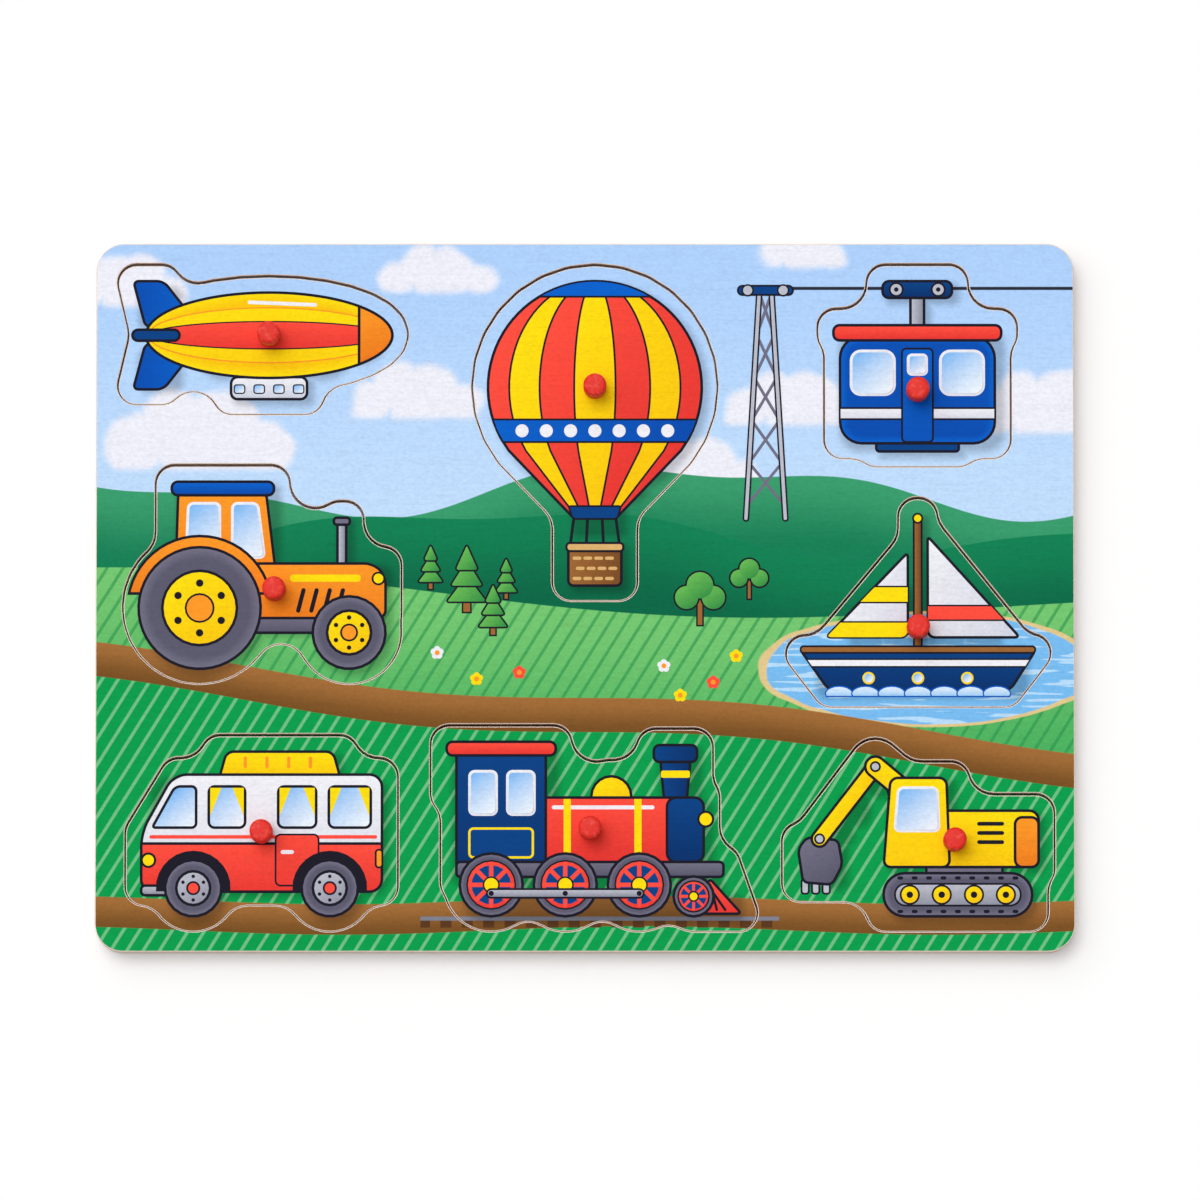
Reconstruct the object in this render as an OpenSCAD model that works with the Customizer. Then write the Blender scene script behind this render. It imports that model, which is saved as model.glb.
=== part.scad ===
// Wooden peg puzzle: eight vehicles are sawn out of a printed sheet, a backing board closes their wells
// from below, and each vehicle lifts out by a dowel peg that is glued into it.
// Millimetres, Z up. The origin is the middle of the underside, +X runs along the boards
// and +Y points to the edge that is the top of the picture.

/* [Boards] */
// Thickness of the sheet that the vehicles are sawn from
sheet_t = 6.5; // [4:0.5:10]
// Thickness of the backing board
backing_t = 3; // [2:0.5:6]
// Radius of the corners of both boards
corner_r = 8.5; // [4:0.5:14]
// Wood between the outermost saw cuts and the edge of the sheet
rim = 6; // [4:0.5:15]
// Wood between neighbouring columns of vehicles
column_gap = 6.4; // [4:0.2:20]
// Least wood between the vehicles of one column
row_gap = 9; // [4:0.5:25]

/* [Saw cut] */
// Background that stays on a piece all round its picture
margin = 4.2; // [2:0.1:7]
// Radius of the saw line where it turns inwards
bend_r = 8; // [3:0.5:12]
// Radius of the saw line where it turns outwards
turn_r = 5.5; // [3:0.5:7]
// Clearance between a centred piece and its well
clearance = 0.5; // [0.3:0.05:1.2]
// Gap at the lower side of a piece that has slipped down in its well
rest_gap = 0.15; // [0.05:0.05:0.25]

/* [Pegs] */
// Diameter of the dowel
peg_d = 7; // [5:0.5:10]
// Height of a peg above its piece
peg_h = 10; // [6:0.5:16]
// Radius of the rounding round the top of a peg
peg_edge_r = 1.2; // [0.4:0.1:2]
// Wood left under the blind hole of a peg
peg_floor = 2; // [1:0.5:3]
// Glue gap round a peg in its hole
peg_fit = 0.05; // [0.02:0.01:0.15]

/* [Airship] */
// Length of the hull
airship_hull_l = 76; // [60:1:90]
// Height of the hull
airship_hull_h = 27; // [20:1:36]
// Height across the tail fins
airship_tail_h = 34; // [24:1:44]
// Length of the tail fins along the hull
airship_fin_l = 16; // [10:1:24]
// Length of the tip of a fin
airship_tip_l = 10; // [6:1:14]
// Reach of the fin tips behind the hull
airship_rake = 4; // [0:0.5:8]
// Length of the cabin under the hull
airship_cabin_l = 24; // [16:1:40]
// Depth of the cabin below the hull
airship_cabin_h = 6.5; // [4:0.5:12]

/* [Tractor] */
// Diameter of the rear wheel
tractor_rear_d = 38; // [30:1:44]
// Diameter of the front wheel
tractor_front_d = 23; // [16:1:30]
// Distance between the axles
tractor_wheelbase = 45.5; // [38:0.5:56]
// Reach of the bonnet in front of the front axle
tractor_nose = 11.5; // [6:0.5:18]
// Height of the underside of the bonnet above the ground
tractor_belly_h = 16; // [12:1:22]
// Height of the top of the bonnet above the ground
tractor_bonnet_h = 33; // [28:1:42]
// Height of the cab roof above the ground
tractor_cab_h = 58; // [46:1:68]
// Length of the cab roof
tractor_cab_l = 32; // [24:1:40]
// Reach of the cab roof behind the rear axle
tractor_cab_back = 9; // [4:1:16]
// Height of the exhaust pipe above the bonnet
tractor_exhaust_h = 14; // [8:1:22]
// Thickness of the exhaust pipe
tractor_exhaust_d = 3.5; // [2.5:0.5:6]

/* [Camper van] */
// Length of the body
camper_l = 74; // [60:1:88]
// Height of the roof edge above the ground
camper_h = 44; // [36:1:54]
// Height of the floor above the ground
camper_floor = 8; // [5:1:12]
// Height of the foot of the windscreen above the ground
camper_waist = 26; // [20:1:32]
// Length by which the windscreen leans back
camper_slope = 11; // [4:1:18]
// Length of the raised roof
camper_top_l = 38; // [24:1:50]
// Height of the raised roof
camper_top_h = 7; // [4:0.5:12]
// Diameter of the wheels
camper_wheel_d = 18; // [14:1:24]
// Distance between the axles
camper_wheelbase = 41.5; // [34:0.5:50]

/* [Balloon] */
// Diameter of the envelope
balloon_d = 66; // [50:1:80]
// Depth of the mouth below the middle of the envelope
balloon_mouth_drop = 40; // [36:1:54]
// Width of the mouth
balloon_mouth_w = 14; // [10:1:24]
// Length of the ropes between the mouth and the basket
balloon_rope = 8; // [4:1:16]
// Width of the basket
balloon_basket_w = 17; // [12:1:26]
// Height of the basket
balloon_basket_h = 13; // [8:1:20]

/* [Locomotive] */
// Length of the footplate
loco_plate_l = 82; // [72:1:96]
// Height of the footplate above the rails
loco_plate_h = 17; // [13:1:22]
// Length of the cab
loco_cab_l = 28; // [20:1:36]
// Height of the cab roof above the rails
loco_cab_h = 54; // [46:1:64]
// Reach of the roof past each end of the cab
loco_eaves = 3; // [1:0.5:6]
// Diameter of the boiler
loco_boiler_d = 20; // [16:1:26]
// Length of the boiler in front of the cab
loco_boiler_l = 48; // [38:1:56]
// Distance of the chimney behind the front of the boiler
loco_chimney_set = 9; // [7:1:16]
// Width of the chimney
loco_chimney_w = 14; // [8:1:18]
// Height of the chimney above the boiler
loco_chimney_h = 16; // [10:1:24]
// Diameter of the steam dome
loco_dome_d = 13; // [8:1:18]
// Diameter of the driving wheels
loco_driver_d = 20; // [15:1:24]
// Distance between the driving axles
loco_pitch = 22.5; // [20:0.5:25]
// Distance of the first driving axle from the back of the cab
loco_axle_set = 11; // [8:1:15]
// Diameter of the leading wheel
loco_leader_d = 13; // [9:1:16]
// Distance of the leading axle behind the front of the footplate
loco_leader_set = 9; // [6:1:12]
// Reach of the cowcatcher in front of the footplate
loco_catcher = 6; // [3:0.5:10]

/* [Gondola] */
// Width of the cabin
gondola_w = 48; // [38:1:58]
// Height of the cabin
gondola_h = 33; // [26:1:42]
// Reach of the roof past each side of the cabin
gondola_eaves = 2; // [0:0.5:5]
// Thickness of the roof
gondola_roof_t = 4; // [2:0.5:6]
// Length of the hanger between the roof and the carriage
gondola_hanger_l = 7.5; // [4:0.5:14]
// Width of the hanger
gondola_hanger_w = 5; // [3:0.5:10]
// Length of the carriage on the cable
gondola_carriage_l = 22; // [14:1:34]
// Height of the carriage
gondola_carriage_h = 6; // [4:0.5:10]
// Width of the step under the cabin
gondola_step_w = 26; // [16:1:38]
// Depth of the step below the cabin
gondola_step_h = 2.5; // [1.5:0.5:5]

/* [Sailing boat] */
// Length of the deck
boat_deck_l = 74; // [60:1:86]
// Length of the keel
boat_keel_l = 54; // [40:1:60]
// Depth of the hull
boat_hull_h = 13; // [9:1:18]
// Height of the mast above the deck
boat_mast_h = 42; // [36:1:54]
// Thickness of the mast
boat_mast_d = 3; // [2:0.5:5]
// Length of the main sail along the deck
boat_main_l = 32; // [24:1:36]
// Height of the main sail above the deck
boat_main_h = 36; // [28:1:42]
// Length of the jib along the deck
boat_jib_l = 29; // [20:1:34]
// Height of the jib above the deck
boat_jib_h = 31; // [24:1:38]

/* [Excavator] */
// Length of the crawler tracks
digger_track_l = 46; // [36:1:56]
// Height of the crawler tracks
digger_track_h = 14; // [10:1:18]
// Reach of the engine house behind the middle of the tracks
digger_tail = 25; // [18:1:34]
// Height of the top of the engine house above the ground
digger_house_h = 33; // [26:1:40]
// Reach of the cab in front of the middle of the tracks
digger_cab_front = 23; // [16:1:30]
// Length of the cab
digger_cab_l = 22; // [16:1:30]
// Height of the cab roof above the ground
digger_cab_h = 43; // [36:1:52]
// Thickness of the arm
digger_arm_w = 7; // [5:0.5:10]
// Reach of the elbow of the arm in front of the middle of the tracks
digger_elbow_x = 25; // [18:1:34]
// Height of the elbow above the ground
digger_elbow_h = 46.5; // [40:0.5:56]
// Reach of the bucket in front of the middle of the tracks
digger_reach = 49; // [42:1:58]
// Width of the bucket
digger_bucket_w = 14; // [10:1:18]
// Height of the bucket
digger_bucket_h = 15; // [10:1:20]
// Height of the bucket above the ground
digger_bucket_lift = 9; // [4:1:14]

/* [Hidden] */
$fn = 48;

// Straight steps in a full turn of the saw line
saw_steps = 28;

// Room that a well needs round a picture, and how far the pieces have slipped towards -Y
cut_room = margin + clearance;
slip = clearance - rest_gap;
peg_l = sheet_t - peg_floor + peg_h;

// Points of the pictures that more than one shape or box takes up
airship_stern = -airship_hull_l / 2;
loco_boiler_top = loco_plate_h + loco_boiler_d;
loco_boiler_end = loco_cab_l + loco_boiler_l;
gondola_roof_top = gondola_h / 2 + gondola_roof_t;
gondola_carriage_low = gondola_roof_top + gondola_hanger_l;
balloon_basket_top = -balloon_mouth_drop - balloon_rope;
digger_bucket_top = digger_bucket_lift + digger_bucket_h;
digger_wrist_x = digger_bucket_w / 2 - digger_reach;
digger_cab_back = digger_cab_l - digger_cab_front;

// The box of a picture is its least x, greatest x, least y and greatest y, from the picture's own origin
airship_box = [
    airship_stern - airship_rake,
    airship_hull_l / 2,
    -max(airship_hull_h / 2 + airship_cabin_h, airship_tail_h / 2),
    max(airship_hull_h, airship_tail_h) / 2
];
tractor_box = [
    -max(tractor_rear_d / 2, tractor_cab_back),
    tractor_wheelbase + max(tractor_nose, tractor_front_d / 2),
    0,
    max(tractor_cab_h, tractor_bonnet_h + tractor_exhaust_h)
];
camper_box = [-camper_l / 2, camper_l / 2, 0, camper_h + camper_top_h];
balloon_box = [-balloon_d / 2, balloon_d / 2, balloon_basket_top - balloon_basket_h, balloon_d / 2];
loco_box = [
    -loco_eaves,
    max(loco_plate_l + loco_catcher, loco_boiler_end),
    0,
    max(loco_cab_h, loco_boiler_top + loco_chimney_h)
];
gondola_box = [
    -gondola_w / 2 - gondola_eaves,
    gondola_w / 2 + gondola_eaves,
    -gondola_h / 2 - gondola_step_h,
    gondola_carriage_low + gondola_carriage_h
];
boat_box = [
    -max(boat_deck_l / 2, boat_jib_l),
    max(boat_deck_l / 2, boat_main_l),
    -boat_hull_h,
    max(boat_mast_h, boat_main_h, boat_jib_h)
];
digger_box = [
    -digger_reach,
    max(digger_tail, digger_track_l / 2),
    0,
    max(digger_elbow_h + digger_arm_w / 2, digger_cab_h)
];

// Places of the pegs in the pictures
airship_grip = [0, 0];
tractor_grip = [tractor_wheelbase / 2, (tractor_belly_h + tractor_bonnet_h) / 2];
camper_grip = [0, (camper_floor + camper_h) / 2];
balloon_grip = [0, 0];
loco_grip = [loco_plate_l / 2, loco_plate_h + loco_boiler_d / 2];
gondola_grip = [0, 0];
boat_grip = [0, peg_d];
digger_grip = [digger_cab_back, (digger_track_h + digger_house_h) / 2];

// The pictures stand in three columns, each from the top down. The board is as long as the columns need
// and as deep as the fullest column needs, and the other columns spread over that depth.
columns = [
    [airship_box, tractor_box, camper_box],
    [balloon_box, loco_box],
    [gondola_box, boat_box, digger_box]
];
column_w = [for (column = columns) max([for (box = column) span(box).x])];
row_h = [for (column = columns) [for (box = column) span(box).y]];
board_l = 2 * rim + total(column_w, len(columns)) + (len(columns) - 1) * column_gap;
board_d = 2 * rim + max([for (heights = row_h) total(heights, len(heights)) + (len(heights) - 1) * row_gap]);

airship_at = place(0, 0);
tractor_at = place(0, 1);
camper_at = place(0, 2);
balloon_at = place(1, 0);
loco_at = place(1, 1);
gondola_at = place(2, 0);
boat_at = place(2, 1);
digger_at = place(2, 2);

// Length and height that a picture's well takes up
function span(box) = [box[1] - box[0] + 2 * cut_room, box[3] - box[2] + 2 * cut_room];

// Middle of a picture's box
function middle(box) = [box[0] + box[1], box[2] + box[3]] / 2;

// Sum of the first values of a list
function total(list, count) = count == 0 ? 0 : list[count - 1] + total(list, count - 1);

// Place of a picture's origin on the board
function place(column, row) =
    let (
        heights = row_h[column],
        gap = (board_d - 2 * rim - total(heights, len(heights))) / (len(heights) - 1),
        column_x = rim + total(column_w, column) + column * column_gap + column_w[column] / 2,
        row_y = rim + total(heights, row) + row * gap + heights[row] / 2
    )
    [column_x - board_l / 2, board_d / 2 - row_y] - middle(columns[column][row]);

// A rectangle from its lower left and upper right corners
module panel(low, high) {
    translate(low) square(high - low);
}

// A wheel that stands on the ground line
module wheel(x, diameter) {
    translate([x, diameter / 2]) circle(d = diameter);
}

// A bar with round ends
module bar(start, end, width) {
    hull() {
        translate(start) circle(d = width);
        translate(end) circle(d = width);
    }
}

// The pictures as plain shapes, each round its own origin

// Origin at the middle of the hull
module airship_shape() {
    scale([airship_hull_l / airship_hull_h, 1]) circle(d = airship_hull_h);
    panel([-airship_cabin_l / 2, -airship_hull_h / 2 - airship_cabin_h], [airship_cabin_l / 2, 0]);
    for (side = [-1, 1]) {
        polygon([
            [airship_stern + airship_fin_l, 0],
            [airship_stern - airship_rake + airship_tip_l, side * airship_tail_h / 2],
            [airship_stern - airship_rake, side * airship_tail_h / 2],
            [airship_stern, 0]
        ]);
    }
}

// Origin on the ground under the rear axle
module tractor_shape() {
    exhaust_x = tractor_wheelbase - tractor_exhaust_d;
    wheel(0, tractor_rear_d);
    wheel(tractor_wheelbase, tractor_front_d);
    panel([0, tractor_belly_h], [tractor_wheelbase + tractor_nose, tractor_bonnet_h]);
    panel([-tractor_cab_back, tractor_rear_d / 2], [tractor_cab_l - tractor_cab_back, tractor_cab_h]);
    panel([exhaust_x, tractor_belly_h], [tractor_wheelbase, tractor_bonnet_h + tractor_exhaust_h]);
}

// Origin on the ground under the middle of the body
module camper_shape() {
    polygon([
        [-camper_l / 2, camper_floor],
        [-camper_l / 2, camper_waist],
        [camper_slope - camper_l / 2, camper_h],
        [camper_l / 2, camper_h],
        [camper_l / 2, camper_floor]
    ]);
    panel([(camper_slope - camper_top_l) / 2, camper_floor],
          [(camper_slope + camper_top_l) / 2, camper_h + camper_top_h]);
    for (side = [-1, 1]) {
        wheel(side * camper_wheelbase / 2, camper_wheel_d);
    }
}

// Origin at the middle of the envelope
module balloon_shape() {
    hull() {
        circle(d = balloon_d);
        panel([-balloon_mouth_w / 2, -balloon_mouth_drop], [balloon_mouth_w / 2, 0]);
    }
    panel([-balloon_basket_w / 2, balloon_basket_top - balloon_basket_h],
          [balloon_basket_w / 2, -balloon_mouth_drop]);
}

// Origin on the rail under the back of the cab
module loco_shape() {
    chimney_x = loco_boiler_end - loco_chimney_set;
    panel([0, loco_driver_d / 2], [loco_plate_l, loco_plate_h]);
    panel([0, loco_driver_d / 2], [loco_cab_l, loco_cab_h]);
    panel([-loco_eaves, loco_boiler_top], [loco_cab_l + loco_eaves, loco_cab_h]);
    panel([0, loco_plate_h], [loco_boiler_end, loco_boiler_top]);
    panel([chimney_x - loco_chimney_w / 2, loco_plate_h],
          [chimney_x + loco_chimney_w / 2, loco_boiler_top + loco_chimney_h]);
    translate([(loco_cab_l + chimney_x) / 2, loco_boiler_top]) circle(d = loco_dome_d);
    for (axle = [0 : 2]) {
        wheel(loco_axle_set + axle * loco_pitch, loco_driver_d);
    }
    wheel(loco_plate_l - loco_leader_set, loco_leader_d);
    polygon([
        [loco_plate_l, loco_plate_h],
        [loco_plate_l + loco_catcher, 0],
        [loco_plate_l - loco_leader_set, 0]
    ]);
}

// Origin at the middle of the cabin
module gondola_shape() {
    panel([-gondola_w / 2, -gondola_h / 2], [gondola_w / 2, gondola_h / 2]);
    panel([-gondola_step_w / 2, -gondola_h / 2 - gondola_step_h], [gondola_step_w / 2, 0]);
    panel([-gondola_w / 2 - gondola_eaves, gondola_h / 2], [gondola_w / 2 + gondola_eaves, gondola_roof_top]);
    panel([-gondola_hanger_w / 2, 0], [gondola_hanger_w / 2, gondola_carriage_low]);
    panel([-gondola_carriage_l / 2, gondola_carriage_low],
          [gondola_carriage_l / 2, gondola_carriage_low + gondola_carriage_h]);
}

// Origin on the deck at the foot of the mast
module boat_shape() {
    polygon([
        [-boat_deck_l / 2, 0],
        [boat_deck_l / 2, 0],
        [boat_keel_l / 2, -boat_hull_h],
        [-boat_keel_l / 2, -boat_hull_h]
    ]);
    polygon([[-boat_jib_l, 0], [boat_main_l, 0], [boat_mast_d, boat_main_h], [-boat_mast_d, boat_jib_h]]);
    panel([-boat_mast_d / 2, 0], [boat_mast_d / 2, boat_mast_h]);
}

// Origin on the ground under the middle of the tracks
module digger_shape() {
    panel([-digger_track_l / 2, 0], [digger_track_l / 2, digger_track_h]);
    panel([-digger_cab_front, digger_track_h], [digger_tail, digger_house_h]);
    panel([-digger_cab_front, digger_track_h], [digger_cab_back, digger_cab_h]);
    bar([digger_cab_back, digger_house_h - digger_arm_w], [-digger_elbow_x, digger_elbow_h], digger_arm_w);
    bar([-digger_elbow_x, digger_elbow_h], [digger_wrist_x, digger_bucket_top], digger_arm_w);
    panel([-digger_reach, digger_bucket_lift], [digger_bucket_w - digger_reach, digger_bucket_top]);
}

// The smooth line that the saw follows round a picture
module saw_line() {
    offset(r = turn_r, $fn = saw_steps)
        offset(r = -bend_r - turn_r, $fn = saw_steps)
            offset(r = margin + bend_r, $fn = saw_steps) children();
}

// The cut-out that a picture leaves in the sheet
module well(at) {
    translate(at) offset(delta = clearance) saw_line() children();
}

// Outline of both boards
module board_outline() {
    square([board_l - 2 * corner_r, board_d], center = true);
    square([board_l, board_d - 2 * corner_r], center = true);
    for (x = [-1, 1], y = [-1, 1]) {
        translate([x * (board_l / 2 - corner_r), y * (board_d / 2 - corner_r)]) circle(r = corner_r);
    }
}

// A sawn-out piece, slipped down in its well, with the blind hole for its peg
module sawn_piece(at, grip) {
    translate([at.x, at.y - slip, backing_t]) {
        difference() {
            linear_extrude(sheet_t) saw_line() children();
            translate([grip.x, grip.y, peg_floor]) cylinder(d = peg_d + 2 * peg_fit, h = sheet_t);
        }
    }
}

// A dowel with a rounded top, standing on the floor of its hole
module dowel_peg(at, grip) {
    translate([at.x + grip.x, at.y + grip.y - slip, backing_t + peg_floor]) {
        rotate_extrude() {
            square([peg_d / 2, peg_l - peg_edge_r]);
            square([peg_d / 2 - peg_edge_r, peg_l]);
            translate([peg_d / 2 - peg_edge_r, peg_l - peg_edge_r]) intersection() {
                circle(r = peg_edge_r);
                square(peg_edge_r);
            }
        }
    }
}

module frame_board() {
    color("yellowgreen") translate([0, 0, backing_t]) linear_extrude(sheet_t) difference() {
        board_outline();
        well(airship_at) airship_shape();
        well(tractor_at) tractor_shape();
        well(camper_at) camper_shape();
        well(balloon_at) balloon_shape();
        well(loco_at) loco_shape();
        well(gondola_at) gondola_shape();
        well(boat_at) boat_shape();
        well(digger_at) digger_shape();
    }
}

module backing_board() {
    color("burlywood") linear_extrude(backing_t) board_outline();
}

module airship_piece() {
    color("gold") sawn_piece(airship_at, airship_grip) airship_shape();
}

module tractor_piece() {
    color("darkorange") sawn_piece(tractor_at, tractor_grip) tractor_shape();
}

module camper_piece() {
    color("whitesmoke") sawn_piece(camper_at, camper_grip) camper_shape();
}

module balloon_piece() {
    color("tomato") sawn_piece(balloon_at, balloon_grip) balloon_shape();
}

module locomotive_piece() {
    color("firebrick") sawn_piece(loco_at, loco_grip) loco_shape();
}

module gondola_piece() {
    color("royalblue") sawn_piece(gondola_at, gondola_grip) gondola_shape();
}

module sailboat_piece() {
    color("lightskyblue") sawn_piece(boat_at, boat_grip) boat_shape();
}

module excavator_piece() {
    color("goldenrod") sawn_piece(digger_at, digger_grip) digger_shape();
}

module airship_peg() {
    color("crimson") dowel_peg(airship_at, airship_grip);
}

module tractor_peg() {
    color("crimson") dowel_peg(tractor_at, tractor_grip);
}

module camper_peg() {
    color("crimson") dowel_peg(camper_at, camper_grip);
}

module balloon_peg() {
    color("crimson") dowel_peg(balloon_at, balloon_grip);
}

module locomotive_peg() {
    color("crimson") dowel_peg(loco_at, loco_grip);
}

module gondola_peg() {
    color("crimson") dowel_peg(gondola_at, gondola_grip);
}

module sailboat_peg() {
    color("crimson") dowel_peg(boat_at, boat_grip);
}

module excavator_peg() {
    color("crimson") dowel_peg(digger_at, digger_grip);
}

frame_board();
backing_board();
airship_piece();
tractor_piece();
camper_piece();
balloon_piece();
locomotive_piece();
gondola_piece();
sailboat_piece();
excavator_piece();
airship_peg();
tractor_peg();
camper_peg();
balloon_peg();
locomotive_peg();
gondola_peg();
sailboat_peg();
excavator_peg();
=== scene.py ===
"""Looks of a wooden peg puzzle: printed boards, sawn vehicle pieces and painted dowel pegs.

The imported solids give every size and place. The sawn boards are copied to ease their edges and to tell
printed faces from bare wood, the pictures are laid on them as films of ink, and every surface gets a finish.
Pictures are drawn in millimetres, each round its own origin.
"""

import logging
import math
from dataclasses import dataclass
from enum import Enum

import bmesh
import bpy
from mathutils import Matrix, Vector
from mathutils.geometry import intersect_line_line


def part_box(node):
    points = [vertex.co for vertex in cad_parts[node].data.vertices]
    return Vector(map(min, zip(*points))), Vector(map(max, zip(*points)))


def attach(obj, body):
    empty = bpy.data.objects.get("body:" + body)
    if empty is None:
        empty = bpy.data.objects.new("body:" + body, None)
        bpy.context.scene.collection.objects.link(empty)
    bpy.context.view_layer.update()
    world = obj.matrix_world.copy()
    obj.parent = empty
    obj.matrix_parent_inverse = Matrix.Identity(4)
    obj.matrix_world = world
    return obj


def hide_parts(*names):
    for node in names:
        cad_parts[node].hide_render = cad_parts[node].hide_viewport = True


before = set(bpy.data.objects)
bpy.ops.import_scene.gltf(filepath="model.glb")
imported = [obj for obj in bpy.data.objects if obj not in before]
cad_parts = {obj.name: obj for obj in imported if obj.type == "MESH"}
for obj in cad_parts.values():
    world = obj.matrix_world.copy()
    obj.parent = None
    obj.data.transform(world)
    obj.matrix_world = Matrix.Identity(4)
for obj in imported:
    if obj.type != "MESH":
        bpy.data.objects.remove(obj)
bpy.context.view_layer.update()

LOG = logging.getLogger("peg_puzzle")
MM = 0.001
SHADE = "shade"
SHARP = math.radians(38.0)

Point = tuple[float, float]
Stretch = tuple[Point, Point]
Outline = tuple[Point, ...]
Row = tuple[float, ...]
Triple = tuple[float, float, float]
Span = tuple[float, float, float, float]
Patch = tuple[float, float, float, float, float]
Colour = tuple[float, float, float, float]


def paint(red: int, green: int, blue: int) -> Colour:
    """Turns a swatch into a linear colour.

    Args:
        red: Display value from 0 to 255.
        green: Display value from 0 to 255.
        blue: Display value from 0 to 255.

    Returns:
        The colour as a shader takes it.
    """
    shares = [value / 255 for value in (red, green, blue)]
    return (*[s / 12.92 if s <= 0.04045 else ((s + 0.055) / 1.055) ** 2.4 for s in shares], 1.0)


@dataclass(frozen=True)
class Grain:
    """A cloudy pattern: its features in a millimetre along X, Y and Z, and how many finer patterns it has."""

    per_mm: Triple
    detail: float = 2.0


class Field:
    """A number that varies over a surface, as one output of a shader graph."""

    def __init__(self, graph: "Graph", socket: bpy.types.NodeSocket) -> None:
        """Keeps the graph and the output that carries the number."""
        self.graph = graph
        self.socket = socket

    def __add__(self, other: "Field | float") -> "Field":
        """Sum of this and another number."""
        return self.graph.math("ADD", self, other)

    def __radd__(self, other: float) -> "Field":
        """Sum of a plain number and this."""
        return self.graph.math("ADD", other, self)

    def __sub__(self, other: "Field | float") -> "Field":
        """This less another number."""
        return self.graph.math("SUBTRACT", self, other)

    def __rsub__(self, other: float) -> "Field":
        """A plain number less this."""
        return self.graph.math("SUBTRACT", other, self)

    def __mul__(self, other: "Field | float") -> "Field":
        """Product of this and another number."""
        return self.graph.math("MULTIPLY", self, other)

    def __rmul__(self, other: float) -> "Field":
        """Product of a plain number and this."""
        return self.graph.math("MULTIPLY", other, self)

    def __truediv__(self, other: float) -> "Field":
        """This divided by a plain number."""
        return self.graph.math("DIVIDE", self, other)

    def __abs__(self) -> "Field":
        """This without its sign."""
        return self.graph.math("ABSOLUTE", self)

    def sine(self) -> "Field":
        """Sine of this, taken as radians."""
        return self.graph.math("SINE", self)

    def part(self) -> "Field":
        """What is left of this after its whole number."""
        return self.graph.math("FRACT", self)

    def larger(self, other: "Field | float") -> "Field":
        """The larger of this and another number."""
        return self.graph.math("MAXIMUM", self, other)

    def smaller(self, other: "Field | float") -> "Field":
        """The smaller of this and another number."""
        return self.graph.math("MINIMUM", self, other)

    def rise(self, low: float, high: float) -> "Field":
        """Goes smoothly from 0 where this is low to 1 where it is high."""
        return self.graph.ramp(self, low, high, 0.0, 1.0)

    def fall(self, low: float, high: float) -> "Field":
        """Goes smoothly from 1 where this is low to 0 where it is high."""
        return self.graph.ramp(self, low, high, 1.0, 0.0)


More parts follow.
